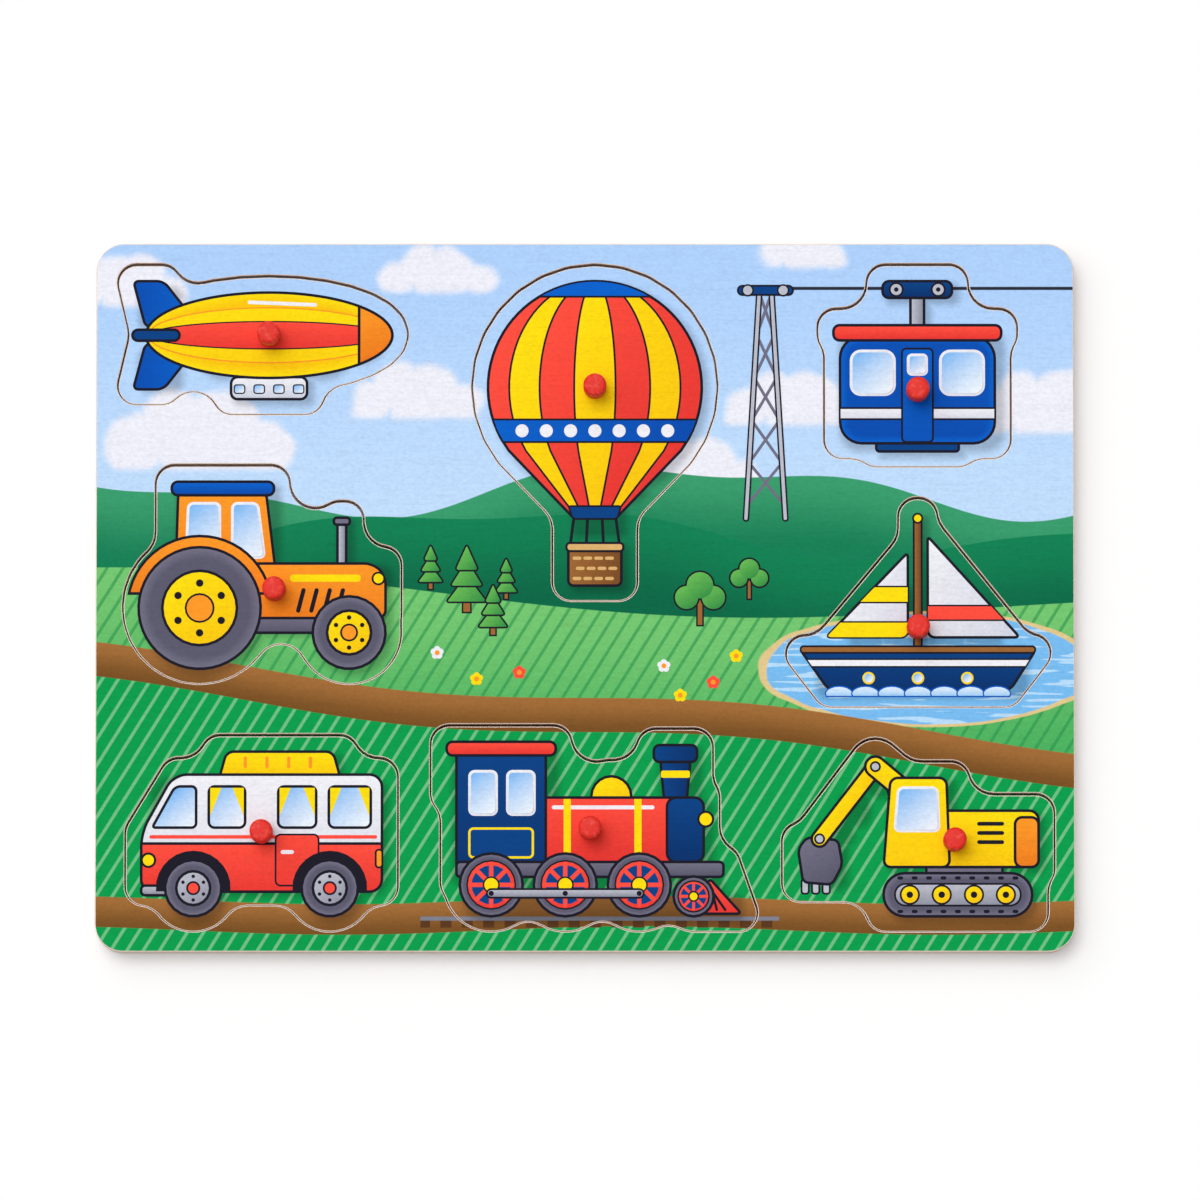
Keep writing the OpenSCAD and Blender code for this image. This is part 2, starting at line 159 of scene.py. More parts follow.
class Graph:
    """Builds the nodes of one material from formulas on the place in the object, in millimetres."""

    FIBRES = Grain((0.05, 1.3, 1.3), 4.0)
    MOTTLE = Grain((0.9, 1.2, 1.2), 3.0)
    PORES = Grain((0.16, 3.0, 3.0))

    def __init__(self, name: str) -> None:
        """Starts a material with a plain shader.

        Args:
            name: Name of the new material.
        """
        self.material = bpy.data.materials.new(name)
        self.material.use_nodes = True
        self.tree = self.material.node_tree
        self.tree.nodes.clear()
        self.shader = self.node("ShaderNodeBsdfPrincipled")
        output = self.node("ShaderNodeOutputMaterial")
        self.tree.links.new(self.shader.outputs["BSDF"], output.inputs["Surface"])
        metres = self.node("ShaderNodeTexCoord").outputs["Object"]
        self.place = self.vector("SCALE", metres, 1 / MM)
        split = self.node("ShaderNodeSeparateXYZ")
        self.feed(split.inputs[0], self.place)
        self.x, self.y, self.z = (Field(self, socket) for socket in split.outputs)

    def node(self, kind: str, **settings: object) -> bpy.types.Node:
        """Adds a node.

        Args:
            kind: Blender's name of the node type.
            **settings: Properties of the node.

        Returns:
            The new node.
        """
        made = self.tree.nodes.new(kind)
        for name, value in settings.items():
            setattr(made, name, value)
        return made

    def feed(self, socket: bpy.types.NodeSocket, value: object) -> None:
        """Links an output to a socket, or sets the socket to a plain value.

        Args:
            socket: Input of a node.
            value: A field, an output of a node or a plain value.
        """
        given = value.socket if isinstance(value, Field) else value
        if isinstance(given, bpy.types.NodeSocket):
            self.tree.links.new(given, socket)
        else:
            socket.default_value = given

    def math(self, operation: str, first: object, second: object = None) -> Field:
        """Works out one number from one or two others.

        Args:
            operation: Blender's name of the operation.
            first: A field or a plain number.
            second: A field or a plain number, if the operation takes two.

        Returns:
            The result.
        """
        made = self.node("ShaderNodeMath", operation=operation)
        self.feed(made.inputs[0], first)
        if second is not None:
            self.feed(made.inputs[1], second)
        return Field(self, made.outputs[0])

    def vector(self, operation: str, first: object, second: object = None) -> bpy.types.NodeSocket:
        """Works out a vector from a vector and, where the operation takes one, another vector or a factor.

        Args:
            operation: Blender's name of the operation.
            first: The vector.
            second: The other vector or the factor, if the operation takes one.

        Returns:
            The result.
        """
        made = self.node("ShaderNodeVectorMath", operation=operation)
        self.feed(made.inputs[0], first)
        if second is not None:
            self.feed(made.inputs["Scale" if operation == "SCALE" else 1], second)
        return made.outputs[0]

    def ramp(self, value: Field, low: float, high: float, start: float, end: float) -> Field:
        """Turns a value smoothly into another.

        Args:
            value: What the result depends on.
            low: Value up to which the result is start.
            high: Value from which the result is end.
            start: First result.
            end: Last result.

        Returns:
            The result.
        """
        made = self.node("ShaderNodeMapRange", interpolation_type="SMOOTHSTEP")
        for socket, given in zip(made.inputs, (value, low, high, start, end)):
            self.feed(socket, given)
        return Field(self, made.outputs[0])

    def noise(self, grain: Grain) -> Field:
        """Works out a cloudy pattern from 0 to 1.

        Args:
            grain: Size and detail of the pattern.

        Returns:
            The pattern, about 0.5 on average.
        """
        made = self.node("ShaderNodeTexNoise")
        self.feed(made.inputs["Vector"], self.vector("MULTIPLY", self.place, grain.per_mm))
        made.inputs["Scale"].default_value = 1.0
        made.inputs["Detail"].default_value = grain.detail
        return Field(self, made.outputs[0])

    def distance(self, place: bpy.types.NodeSocket, centre: Point) -> Field:
        """Distance of a place from a point of the picture.

        Args:
            place: The place.
            centre: The point.

        Returns:
            The distance, in the units of the place.
        """
        made = self.node("ShaderNodeVectorMath", operation="DISTANCE")
        self.feed(made.inputs[0], place)
        self.feed(made.inputs[1], (*centre, 0.0))
        return Field(self, made.outputs["Value"])

    def flat(self, x: Field, y: Field) -> bpy.types.NodeSocket:
        """A place in the picture from its two coordinates.

        Args:
            x: Place along the picture.
            y: Place up the picture.

        Returns:
            The place as a vector.
        """
        made = self.node("ShaderNodeCombineXYZ")
        self.feed(made.inputs[0], x)
        self.feed(made.inputs[1], y)
        return made.outputs[0]

    def attribute(self, name: str) -> Field:
        """A number that the mesh itself carries."""
        return Field(self, self.node("ShaderNodeAttribute", attribute_name=name).outputs["Fac"])

    def blend(self, share: Field, under: object, over: object) -> bpy.types.NodeSocket:
        """Lays one colour over another.

        Args:
            share: How much of the upper colour shows, from 0 to 1.
            under: The lower colour, as an output or a plain colour.
            over: The upper colour, as an output or a plain colour.

        Returns:
            The colour that shows.
        """
        made = self.node("ShaderNodeMix", data_type="RGBA")
        self.feed(made.inputs[0], share)
        self.feed(made.inputs[6], under)
        self.feed(made.inputs[7], over)
        return made.outputs[2]

    def dress(
        self, colour: object, roughness: object, height: Field, depth: float, shine: float = 0.5,
    ) -> bpy.types.Material:
        """Finishes the material.

        Args:
            colour: Colour of the surface.
            roughness: Roughness of the surface.
            height: Fine relief from 0 to 1.
            depth: Depth of the relief in millimetres.
            shine: Strength of the reflections, where 0.5 is that of common paint.

        Returns:
            The material.
        """
        self.shader.inputs["Specular IOR Level"].default_value = shine
        bump = self.node("ShaderNodeBump")
        bump.inputs["Distance"].default_value = depth * MM
        self.feed(bump.inputs["Height"], height)
        self.feed(self.shader.inputs["Base Color"], colour)
        self.feed(self.shader.inputs["Roughness"], roughness)
        self.feed(self.shader.inputs["Normal"], bump.outputs["Normal"])
        return self.material

    def print_on_wood(self, colour: object) -> bpy.types.Material:
        """Finishes a printed face: the grain of the wood shows faintly through the ink.

        Args:
            colour: Colour of the print.

        Returns:
            The material.
        """
        fibres = self.noise(self.FIBRES)
        mottle = self.noise(self.MOTTLE)
        pores = self.noise(self.PORES).rise(0.6, 0.72)
        tone = 1.0 + (fibres - 0.5) * 0.12 + (mottle - 0.5) * 0.3 - pores * 0.05
        height = fibres * 0.6 + mottle * 0.4 - pores * 0.7
        shown = self.vector("SCALE", colour, tone)
        return self.dress(shown, roughness=0.48 + mottle * 0.16, height=height, depth=0.03, shine=0.05)


@dataclass(frozen=True)
class Ink:
    """A printing ink with the tone that its airbrushed shading goes to."""

    name: str
    colour: Colour
    deep: Colour

    def material(self) -> bpy.types.Material:
        """Gives the ink's material, made on first use.

        Returns:
            The material.
        """
        made = bpy.data.materials.get(self.name)
        if made is None:
            graph = Graph(self.name)
            made = graph.print_on_wood(graph.blend(graph.attribute(SHADE), self.colour, self.deep))
        return made


class Inks(Enum):
    """The inks of the pictures."""

    LINE = Ink("line_ink", paint(22, 21, 34), paint(22, 21, 34))
    RED = Ink("red_ink", paint(254, 78, 62), paint(228, 50, 46))
    YELLOW = Ink("yellow_ink", paint(254, 223, 8), paint(251, 196, 6))
    ORANGE = Ink("orange_ink", paint(254, 154, 38), paint(236, 118, 24))
    BLUE = Ink("blue_ink", paint(0, 96, 202), paint(0, 70, 168))
    NAVY = Ink("navy_ink", paint(2, 65, 132), paint(0, 44, 100))
    WHITE = Ink("white_ink", paint(240, 240, 246), paint(202, 206, 222))
    GREY = Ink("grey_ink", paint(188, 190, 202), paint(138, 140, 156))
    TYRE = Ink("tyre_ink", paint(114, 111, 131), paint(84, 82, 102))
    BROWN = Ink("brown_ink", paint(158, 102, 50), paint(116, 70, 32))
    TAN = Ink("tan_ink", paint(222, 178, 112), paint(186, 138, 76))
    GLASS = Ink("glass_ink", paint(122, 184, 244), paint(240, 247, 254))
    LEAF = Ink("leaf_ink", paint(104, 186, 84), paint(42, 138, 66))
    FOAM = Ink("foam_ink", paint(226, 240, 252), paint(160, 206, 246))


@dataclass(frozen=True)
class Fade:
    """Airbrushed shading of a patch of ink.

    The tone deepens in one direction, given in degrees from +X, and over a soft rim of a width in
    millimetres. Without numbers it is plain, and with an end alone it deepens downwards.
    """

    angle: float = -90.0
    start: float = 0.0
    end: float = 0.0
    rim: float = 0.0
    rim_tone: float = 0.8

    @classmethod
    def glint(cls) -> "Fade":
        """The shine across a window."""
        return cls(-52.0, end=1.0)


class Artwork:
    """Patches of ink that lie one over the other on a printed face, joined to one mesh.

    A film is STEP thicker than what lies under it and its foot is SUNK into the wood. Outlines are LINE_W
    wide, and a round corner takes up CORNER of a side and has ROUND edges. Points nearer than SHORT to a cut,
    and edges under TINY, are dissolved. A side is lost when less than LOST of it is left once it is drawn
    in, and a lost stretch becomes a copy of where it came from, at COPY of its size, in up to PASSES passes.
    The shares of a wheel are those of its radius.
    """

    STEP = 0.012
    SUNK = 0.02
    LINE_W = 0.85
    CORNER = 1.3
    ROUND = 7
    OVAL_LEAST = 20
    OVAL_PER_MM = 2.4
    BAR_END = 0.499
    CUT_NEAR = 1e-5
    LEAST_REACH = 1e-6
    SHORT = 1.9
    TINY = 0.05
    LOST = 0.03
    COPY = 0.05
    PASSES = 8
    BOLTS = 6
    BOLT_SHARE = 0.06
    BOLT_RING_SHARE = 0.4
    HUB_SHARE = 0.24
    RIM_SHARE = 0.62
    SOFT_SHARE = 0.16

    def __init__(self) -> None:
        """Starts an empty picture."""
        self.bm = bmesh.new()
        self.shade = self.bm.verts.layers.float.new(SHADE)
        self.inks: list[Inks] = []
        self.laid: list[tuple[Span, int]] = []

    def oval(self, x: float, y: float, rx: float, ry: float) -> bmesh.types.BMFace:
        """An ellipse round a point.

        Args:
            x: Middle along the picture.
            y: Middle up the picture.
            rx: Half of its length.
            ry: Half of its height.

        Returns:
            The flat face.
        """
        steps = max(self.OVAL_LEAST, int(self.OVAL_PER_MM * max(rx, ry)))
        made = bmesh.ops.create_circle(self.bm, cap_ends=True, radius=1.0, segments=steps)["verts"]
        bmesh.ops.scale(self.bm, vec=(rx, ry, 1.0), verts=made)
        bmesh.ops.translate(self.bm, vec=(x, y, 0.0), verts=made)
        return made[0].link_faces[0]

    def disc(self, x: float, y: float, radius: float) -> bmesh.types.BMFace:
        """A circle round a point."""
        return self.oval(x, y, radius, radius)

    def shape(self, points: list[Point], radius: float = CORNER) -> bmesh.types.BMFace:
        """A polygon with round corners.

        Args:
            points: Its corners in order.
            radius: Length of each edge that the rounding of a corner takes up.

        Returns:
            The flat face.
        """
        corners = [self.bm.verts.new((x, y, 0.0)) for x, y in points]
        face = self.bm.faces.new(corners)
        face.normal_update()
        if radius > 0:
            made = bmesh.ops.bevel(
                self.bm, geom=corners, offset=radius, offset_type="OFFSET", segments=self.ROUND,
                profile=0.5, affect="VERTICES", clamp_overlap=True, material=-1,
            )
            face = made["verts"][0].link_faces[0]
            for edge in list(face.edges):
                if edge.is_valid and edge.calc_length() < self.TINY:
                    bmesh.utils.vert_dissolve(edge.verts[0])
        return face

    def box(self, span: Span, radius: float = CORNER) -> bmesh.types.BMFace:
        """A rectangle with round corners, from its left, low, right and high sides."""
        left, low, right, high = span
        return self.shape([(left, low), (right, low), (right, high), (left, high)], radius)

    def bar(self, start: Point, end: Point, width: float) -> bmesh.types.BMFace:
        """A straight bar with round ends.

        Args:
            start: Middle of one end.
            end: Middle of the other end.
            width: Its width.

        Returns:
            The flat face.
        """
        a, b = Vector(start), Vector(end)
        along = (b - a).normalized() * width / 2
        side = Vector((-along.y, along.x))
        ends = [a - along - side, b + along - side, b + along + side, a - along + side]
        return self.shape([tuple(p) for p in ends], width * self.BAR_END)

    def cut(self, face: bmesh.types.BMFace, through: Point, away: Point) -> bmesh.types.BMFace:
        """Cuts a face along a straight line.

        Args:
            face: The flat face.
            through: A point on the line.
            away: Direction of the side that is thrown away.

        Returns:
            The face that is left.
        """
        whole = [face, *face.edges, *face.verts]
        made = bmesh.ops.bisect_plane(
            self.bm, geom=whole, dist=self.CUT_NEAR, plane_co=(*through, 0.0), plane_no=(*away, 0.0),
            clear_outer=True,
        )
        ends = [g for g in made["geom_cut"] if isinstance(g, bmesh.types.BMVert)]
        for end in ends:
            near = [edge.other_vert(end) for edge in end.link_edges if edge.calc_length() < self.SHORT]
            for vert in near:
                if vert not in ends:
                    bmesh.utils.vert_dissolve(vert)
        return ends[0].link_faces[0]

    def band(self, face: bmesh.types.BMFace, low: float, high: float) -> bmesh.types.BMFace:
        """Keeps the level stretch of a face between two heights."""
        return self.cut(self.cut(face, (0.0, low), (0.0, -1.0)), (0.0, high), (0.0, 1.0))

    def lay(
        self, face: bmesh.types.BMFace, ink: Inks, line: float = LINE_W, edge: Inks = Inks.LINE,
        fade: Fade = Fade(),
    ) -> None:
        """Makes a flat face a film of ink on top of what is there.

        Args:
            face: Outline of the patch.
            ink: Ink that fills it.
            line: Width of the line along its edge, or 0.
            edge: Ink of that line.
            fade: Airbrushed shading of the fill.
        """
        faces = [face]
        height = self.pile(face) * self.STEP
        face.material_index = self.slot(ink)
        if line > 0:
            ring = self.inset(face, line)
            for part in ring:
                part.material_index = self.slot(edge)
            faces += ring
        soft = list(face.verts)
        if fade.rim > 0:
            faces += self.inset(face, fade.rim)
        self.tint([*soft, *face.verts], fade)
        for vert in soft if fade.rim > 0 else []:
            vert[self.shade] = max(vert[self.shade], fade.rim_tone)
        lifted = bmesh.ops.extrude_face_region(self.bm, geom=faces, use_keep_orig=True)["geom"]
        tops = [g for g in lifted if isinstance(g, bmesh.types.BMVert)]
        bmesh.ops.translate(self.bm, vec=(0.0, 0.0, self.SUNK + height), verts=tops)

    def pile(self, face: bmesh.types.BMFace) -> int:
        """Counts the films that lie on each other where a face comes to lie, itself included.

        Args:
            face: Outline of the new film.

        Returns:
            One more than the highest film whose box overlaps its own.
        """
        xs, ys = zip(*[(v.co.x, v.co.y) for v in face.verts])
        box = (min(xs), min(ys), max(xs), max(ys))
        under = [
            count for (left, low, right, high), count in self.laid
            if left < box[2] and right > box[0] and low < box[3] and high > box[1]
        ]
        made = max(under, default=0) + 1
        self.laid.append((box, made))
        return made

    def inset(self, face: bmesh.types.BMFace, width: float) -> list[bmesh.types.BMFace]:
        """Draws the edge of a face in.

        Args:
            face: The flat face.
            width: How far its edge moves.

        Returns:
            The ring of faces that this leaves round it.
        """
        ring = bmesh.ops.inset_region(
            self.bm, faces=[face], use_boundary=True, use_even_offset=True, thickness=width,
        )["faces"]
        for _ in range(self.PASSES):
            for run in self.backward_runs(face):
                self.draw_together(run, width)
        return ring

    @staticmethod
    def source(loop: bmesh.types.BMLoop) -> bmesh.types.BMLoop:
        """The side across the ring that a side of a drawn-in face came from."""
        return loop.link_loop_radial_next.link_loop_next.link_loop_next

    def left_over(self, loop: bmesh.types.BMLoop) -> float:
        """Measures what is left of a side once it is drawn in.

        Args:
            loop: The side of the drawn-in face.

        Returns:
            Its length along the side it came from, below 0 if it runs backwards.
        """
        outer = self.source(loop)
        way = (outer.link_loop_next.vert.co - outer.vert.co).normalized()
        return (loop.link_loop_next.vert.co - loop.vert.co).dot(way)

    def backward_runs(self, face: bmesh.types.BMFace) -> list[list[bmesh.types.BMLoop]]:
        """Finds the lost stretches of a drawn-in face in which a side runs backwards.

        Args:
            face: The flat face inside its new ring.

        Returns:
            The sides of each stretch in order, with the sound side after it.
        """
        lost = {loop: self.left_over(loop) < self.LOST for loop in face.loops}
        runs = []
        for start in face.loops:
            if lost[start] and not lost[start.link_loop_prev]:
                run = [start]
                while lost[run[-1]]:
                    run.append(run[-1].link_loop_next)
                if min(self.left_over(loop) for loop in run[:-1]) < 0:
                    runs.append(run)
        return runs

    def draw_together(self, run: list[bmesh.types.BMLoop], width: float) -> None:
        """Draws a lost stretch together where the sound sides next to it cross.

        Args:
            run: Its sides in order, with the sound side after it.
            width: How far the edge moved, which is also how far the crossing may lie.
        """
        corner = sum((loop.vert.co for loop in run), Vector()) / len(run)
        crossing = intersect_line_line(
            run[0].link_loop_prev.vert.co, run[0].vert.co, run[-1].vert.co, run[-1].link_loop_next.vert.co,
        )
        if crossing and (crossing[0] - corner).length < width:
            corner = crossing[0]
        origins = [self.source(loop).vert.co for loop in run]
        middle = sum(origins, Vector()) / len(run)
        for loop, origin in zip(run, origins):
            loop.vert.co = corner + (origin - middle) * self.COPY

    def tint(self, verts: list[bmesh.types.BMVert], fade: Fade) -> None:
        """Writes the shading of a patch into its points.

        Args:
            verts: The points.
            fade: The shading.
        """
        way = Vector((math.cos(math.radians(fade.angle)), math.sin(math.radians(fade.angle)), 0.0))
        reach = [v.co.dot(way) for v in verts]
        low, length = min(reach), max(max(reach) - min(reach), self.LEAST_REACH)
        for vert, at in zip(verts, reach):
            vert[self.shade] = fade.start + (fade.end - fade.start) * (at - low) / length

    def slot(self, ink: Inks) -> int:
        """Finds an ink in the mesh's list of materials and adds it where it is new.

        Args:
            ink: The ink.

        Returns:
            Its place in the list.
        """
        if ink not in self.inks:
            self.inks.append(ink)
        return self.inks.index(ink)

    def wheel(self, x: float, y: float, radius: float, rim: Inks, hub: Inks) -> None:
        """Lays a tyre with a plain rim, a hub and a ring of bolts.

        Args:
            x: Place of the axle.
            y: Height of the axle.
            radius: Radius of the tyre.
            rim: Ink of the rim.
            hub: Ink of the hub.
        """
        self.lay(self.disc(x, y, radius), Inks.TYRE, fade=Fade(rim=radius * self.SOFT_SHARE))
        self.lay(self.disc(x, y, radius * self.RIM_SHARE), rim, fade=Fade(-60.0, end=0.8))
        ring = radius * self.BOLT_RING_SHARE
        for turn in range(self.BOLTS):
            angle = 2 * math.pi * (turn + 0.5) / self.BOLTS
            spot = (x + ring * math.cos(angle), y + ring * math.sin(angle))
            self.lay(self.disc(*spot, radius * self.BOLT_SHARE), Inks.LINE, line=0)
        self.lay(self.disc(x, y, radius * self.HUB_SHARE), hub, line=0.6)

    def pane(self, face: bmesh.types.BMFace) -> None:
        """Lays a window with a pale frame and a soft shine across it."""
        self.lay(face, Inks.GLASS, edge=Inks.WHITE, fade=Fade.glint())

    def mesh(self, name: str, origin: Vector) -> bpy.types.Mesh:
        """Ends the picture.

        Args:
            name: Name of the mesh.
            origin: Where the picture's own origin lies on the printed face, in metres.

        Returns:
            The mesh in metres, with its place in it and its inks in its slots.
        """
        bmesh.ops.translate(self.bm, vec=(0.0, 0.0, -self.SUNK), verts=self.bm.verts)
        bmesh.ops.recalc_face_normals(self.bm, faces=self.bm.faces)
        place = Matrix.Translation(origin) @ Matrix.Scale(MM, 4)
        bmesh.ops.transform(self.bm, matrix=place, verts=self.bm.verts)
        made = bpy.data.meshes.new(name)
        self.bm.to_mesh(made)
        self.bm.free()
        for ink in self.inks:
            made.materials.append(ink.value.material())
        return made


def place_piece(name: str, mesh: bpy.types.Mesh, body: str) -> bpy.types.Object:
    """Puts a finished mesh in the scene as a piece of the puzzle.

    Args:
        name: Name of the piece.
        mesh: Its mesh, already in place.
        body: Body that it moves with.

    Returns:
        The new object.
    """
    piece = bpy.data.objects.new(name, mesh)
    bpy.context.scene.collection.objects.link(piece)
    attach(piece, body)
    LOG.info("%s: %d faces on body %s", name, len(mesh.polygons), body)
    return piece


@dataclass(frozen=True)
class Wave:
    """A line across the picture: a level, a slope and swells of a height, a length and a phase each."""

    level: float
    slope: float = 0.0
    swells: tuple[Triple, ...] = ()

    def height(self, graph: Graph) -> Field:
        """Height of the line over the place along it.

        Args:
            graph: Graph of the material.

        Returns:
            The height in millimetres.
        """
        line = graph.x * self.slope + self.level
        for height, length, phase in self.swells:
            line = line + (graph.x / length + phase).sine() * height
        return line


@dataclass(frozen=True)
class Hill:
    """Land below a line, lit along its top and darker further down."""

    top: Wave
    light: Colour
    dark: Colour
    depth: float


@dataclass(frozen=True)
class Landscape:
    """The printed background: sky with clouds, hills, a striped meadow, a lake and two earth roads.

    Pairs called edge, end, top, foot or reach say where a blend begins and where it is complete. EDGE is half
    of the width of a crisp edge. PUFFS are the rounds of a cloud, with their places and radii as shares of
    its size.
    """

    EDGE = 0.14
    PUFFS = ((-0.85, 0.1, 0.42), (-0.3, 0.34, 0.52), (0.3, 0.26, 0.6), (0.9, 0.08, 0.4), (0.0, 0.02, 0.55))

    sky_high: Colour = paint(174, 209, 252)
    sky_low: Colour = paint(192, 221, 253)
    sky_y: Point = (24.0, 108.0)
    cloud: Colour = paint(240, 240, 249)
    cloud_tone: float = 0.96
    cloud_grain: Grain = Grain((0.09, 0.09, 0.09), 1.0)
    cloud_sway: Point = (6.0, 5.0)
    cloud_base: float = -0.22
    base_soft: float = 1.6
    puff_edge: Point = (-2.0, 1.4)
    clouds: tuple[Triple, ...] = (
        (-118.0, 44.0, 23.0), (-52.0, 58.0, 16.0), (-45.0, 96.0, 14.0), (-140.0, 92.0, 15.0),
        (63.0, 56.0, 16.0), (66.0, 103.0, 11.0), (139.0, 54.0, 18.0), (32.0, 34.0, 17.0),
    )
    hills: tuple[Hill, ...] = (
        Hill(
            Wave(33.0, 0.0, ((7.0, 34.0, 0.7), (3.0, 15.0, 2.1))),
            paint(56, 156, 108), paint(16, 126, 84), 22.0,
        ),
        Hill(
            Wave(19.0, 0.02, ((8.0, 43.0, 2.4), (2.5, 17.0, 0.4))),
            paint(10, 128, 82), paint(0, 102, 68), 26.0,
        ),
        Hill(Wave(0.0, -0.03, ((5.0, 52.0, 4.0),)), paint(116, 198, 112), paint(72, 176, 94), 50.0),
    )
    stripe: Colour = paint(40, 150, 78)
    stripe_tone: float = 0.7
    field_top: Wave = Wave(-36.0, -0.095, ((3.0, 33.0, 0.0),))
    field: Colour = paint(0, 156, 76)
    field_stripe: Colour = paint(122, 196, 140)
    field_stripe_tone: float = 0.85
    stripe_pitch: float = 4.2
    stripe_w: float = 0.95
    stripe_turn: float = 58.0
    road_w: float = 5.2
    track: Wave = Wave(-97.0, 0.0, ((1.3, 29.0, 1.0),))
    track_w: float = 4.6
    earth: Colour = paint(162, 108, 54)
    earth_dark: Colour = paint(120, 78, 32)
    rails_x: Point = (-50.0, 59.0)
    rail_y: float = -97.4
    rail: Colour = paint(126, 128, 142)
    rail_foot: Point = (1.1, 1.35)
    sleeper: Colour = paint(88, 54, 26)
    sleeper_pitch: float = 6.5
    sleeper_end: Point = (0.24, 0.28)
    sleeper_top: Point = (1.0, 1.2)
    sleeper_foot: Point = (3.2, 3.5)
    cable_from: Point = (55.0, 94.4)
    cable_w: float = 0.5
    cable: Colour = paint(40, 40, 54)
    shade_shift: Point = (1.5, -1.4)
    shade_reach: Point = (-1.6, 2.3)
    shade_tone: float = 0.4
    lake_at: Point = (105.0, -22.0)
    lake_size: Point = (49.0, 17.0)
    lake_grain: Grain = Grain((0.05, 0.05, 0.05), 1.0)
    lake_sway: float = 0.22
    shore_edge: Point = (1.035, 1.05)
    water_edge: Point = (0.985, 1.0)
    ripple_grain: Grain = Grain((0.05, 0.55, 0.1), 1.0)
    ripple_edge: Point = (0.56, 0.6)
    ripple_tone: float = 0.8
    water: Colour = paint(120, 188, 240)
    water_light: Colour = paint(196, 228, 252)
    sand: Colour = paint(226, 200, 140)

    def beyond(self, value: Field, limit: float) -> Field:
        """Goes from 0 to 1, with a crisp edge, where a value passes a limit."""
        return value.rise(limit - self.EDGE, limit + self.EDGE)

    def within(self, value: Field, limit: float) -> Field:
        """Goes from 1 to 0, with a crisp edge, where a value passes a limit."""
        return value.fall(limit - self.EDGE, limit + self.EDGE)

    def cover(self, graph: Graph) -> Field:
        """Share of cloud over the sky, with soft edges.

        Args:
            graph: Graph of the material.

        Returns:
            The share, from 0 to 1.
        """
        wobble = graph.noise(self.cloud_grain)
        sway_x, sway_y = self.cloud_sway
        place = graph.flat(graph.x + (wobble - 0.5) * sway_x, graph.y + (wobble - 0.5) * sway_y)
        inner, outer = self.puff_edge
        shown: Field | None = None
        for x, y, size in self.clouds:
            foot = self.cloud_base * size
            base = (graph.y - y).rise(foot - self.base_soft, foot + self.base_soft)
            for dx, dy, radius in self.PUFFS:
                far = graph.distance(place, (x + dx * size, y + dy * size))
                puff = far.fall(radius * size + inner, radius * size + outer) * base
                shown = puff if shown is None else shown.larger(puff)
        return shown

    def stripes(self, graph: Graph) -> Field:
        """Slanting pinstripes over the grass.

        Args:
            graph: Graph of the material.

        Returns:
            A number that is 1 on a stripe and 0 between two.
        """
        turn = math.radians(self.stripe_turn)
        per_x = math.sin(turn) / self.stripe_pitch
        per_y = math.cos(turn) / self.stripe_pitch
        across = graph.x * per_x - graph.y * per_y
        half = self.stripe_w / self.stripe_pitch / 2
        soft = self.EDGE / self.stripe_pitch
        return abs(across.part() - 0.5).fall(half - soft, half + soft)

    def road(self, graph: Graph, under: object, line: Wave, width: float) -> bpy.types.NodeSocket:
        """Lays an earth road over the picture.

        Args:
            graph: Graph of the material.
            under: Colour of the picture so far.
            line: Middle of the road.
            width: Half of its width in millimetres.

        Returns:
            The colour with the road.
        """
        across = graph.y - line.height(graph)
        earth = graph.blend(across.rise(-width, width), self.earth_dark, self.earth)
        return graph.blend(self.within(abs(across), width), under, earth)

    def rails(self, graph: Graph, under: object) -> bpy.types.NodeSocket:
        """Lays a stretch of rail on sleepers over the picture.

        Args:
            graph: Graph of the material.
            under: Colour of the picture so far.

        Returns:
            The colour with the rail.
        """
        start, end = self.rails_x
        along = self.beyond(graph.x, start) * self.within(graph.x, end)
        below = self.rail_y - graph.y
        block = abs((graph.x / self.sleeper_pitch).part() - 0.5).fall(*self.sleeper_end)
        sleepers = along * block * below.rise(*self.sleeper_top) * below.fall(*self.sleeper_foot)
        bed = graph.blend(sleepers, under, self.sleeper)
        return graph.blend(along * self.beyond(below, 0.0) * below.fall(*self.rail_foot), bed, self.rail)

    def rope(self, graph: Graph, under: object) -> bpy.types.NodeSocket:
        """Lays the cable of the cable car over the picture.

        Args:
            graph: Graph of the material.
            under: Colour of the picture so far.

        Returns:
            The colour with the cable.
        """
        x, y = self.cable_from
        near = self.within(abs(graph.y - y), self.cable_w)
        return graph.blend(near * self.beyond(graph.x, x), under, self.cable)

    def drop_shade(self, graph: Graph, shapes: list[Patch]) -> Field:
        """Airbrushed shade to the lower right of a picture.

        Args:
            graph: Graph of the material.
            shapes: Rounded rectangles of the picture, each as left, low, right, high and corner radius.

        Returns:
            The shade, from 0 to its full tone.
        """
        dx, dy = self.shade_shift
        near: Field | None = None
        for left, low, right, high, radius in shapes:
            half = ((right - left) / 2 - radius, (high - low) / 2 - radius, 1.0 / MM)
            out = graph.vector("SUBTRACT", graph.place, ((left + right) / 2 + dx, (low + high) / 2 + dy, 0.0))
            out = graph.vector("SUBTRACT", graph.vector("ABSOLUTE", out), half)
            far = graph.distance(graph.vector("MAXIMUM", out, (0.0, 0.0, 0.0)), (0.0, 0.0)) - radius
            near = far if near is None else near.smaller(far)
        return near.fall(*self.shade_reach) * self.shade_tone

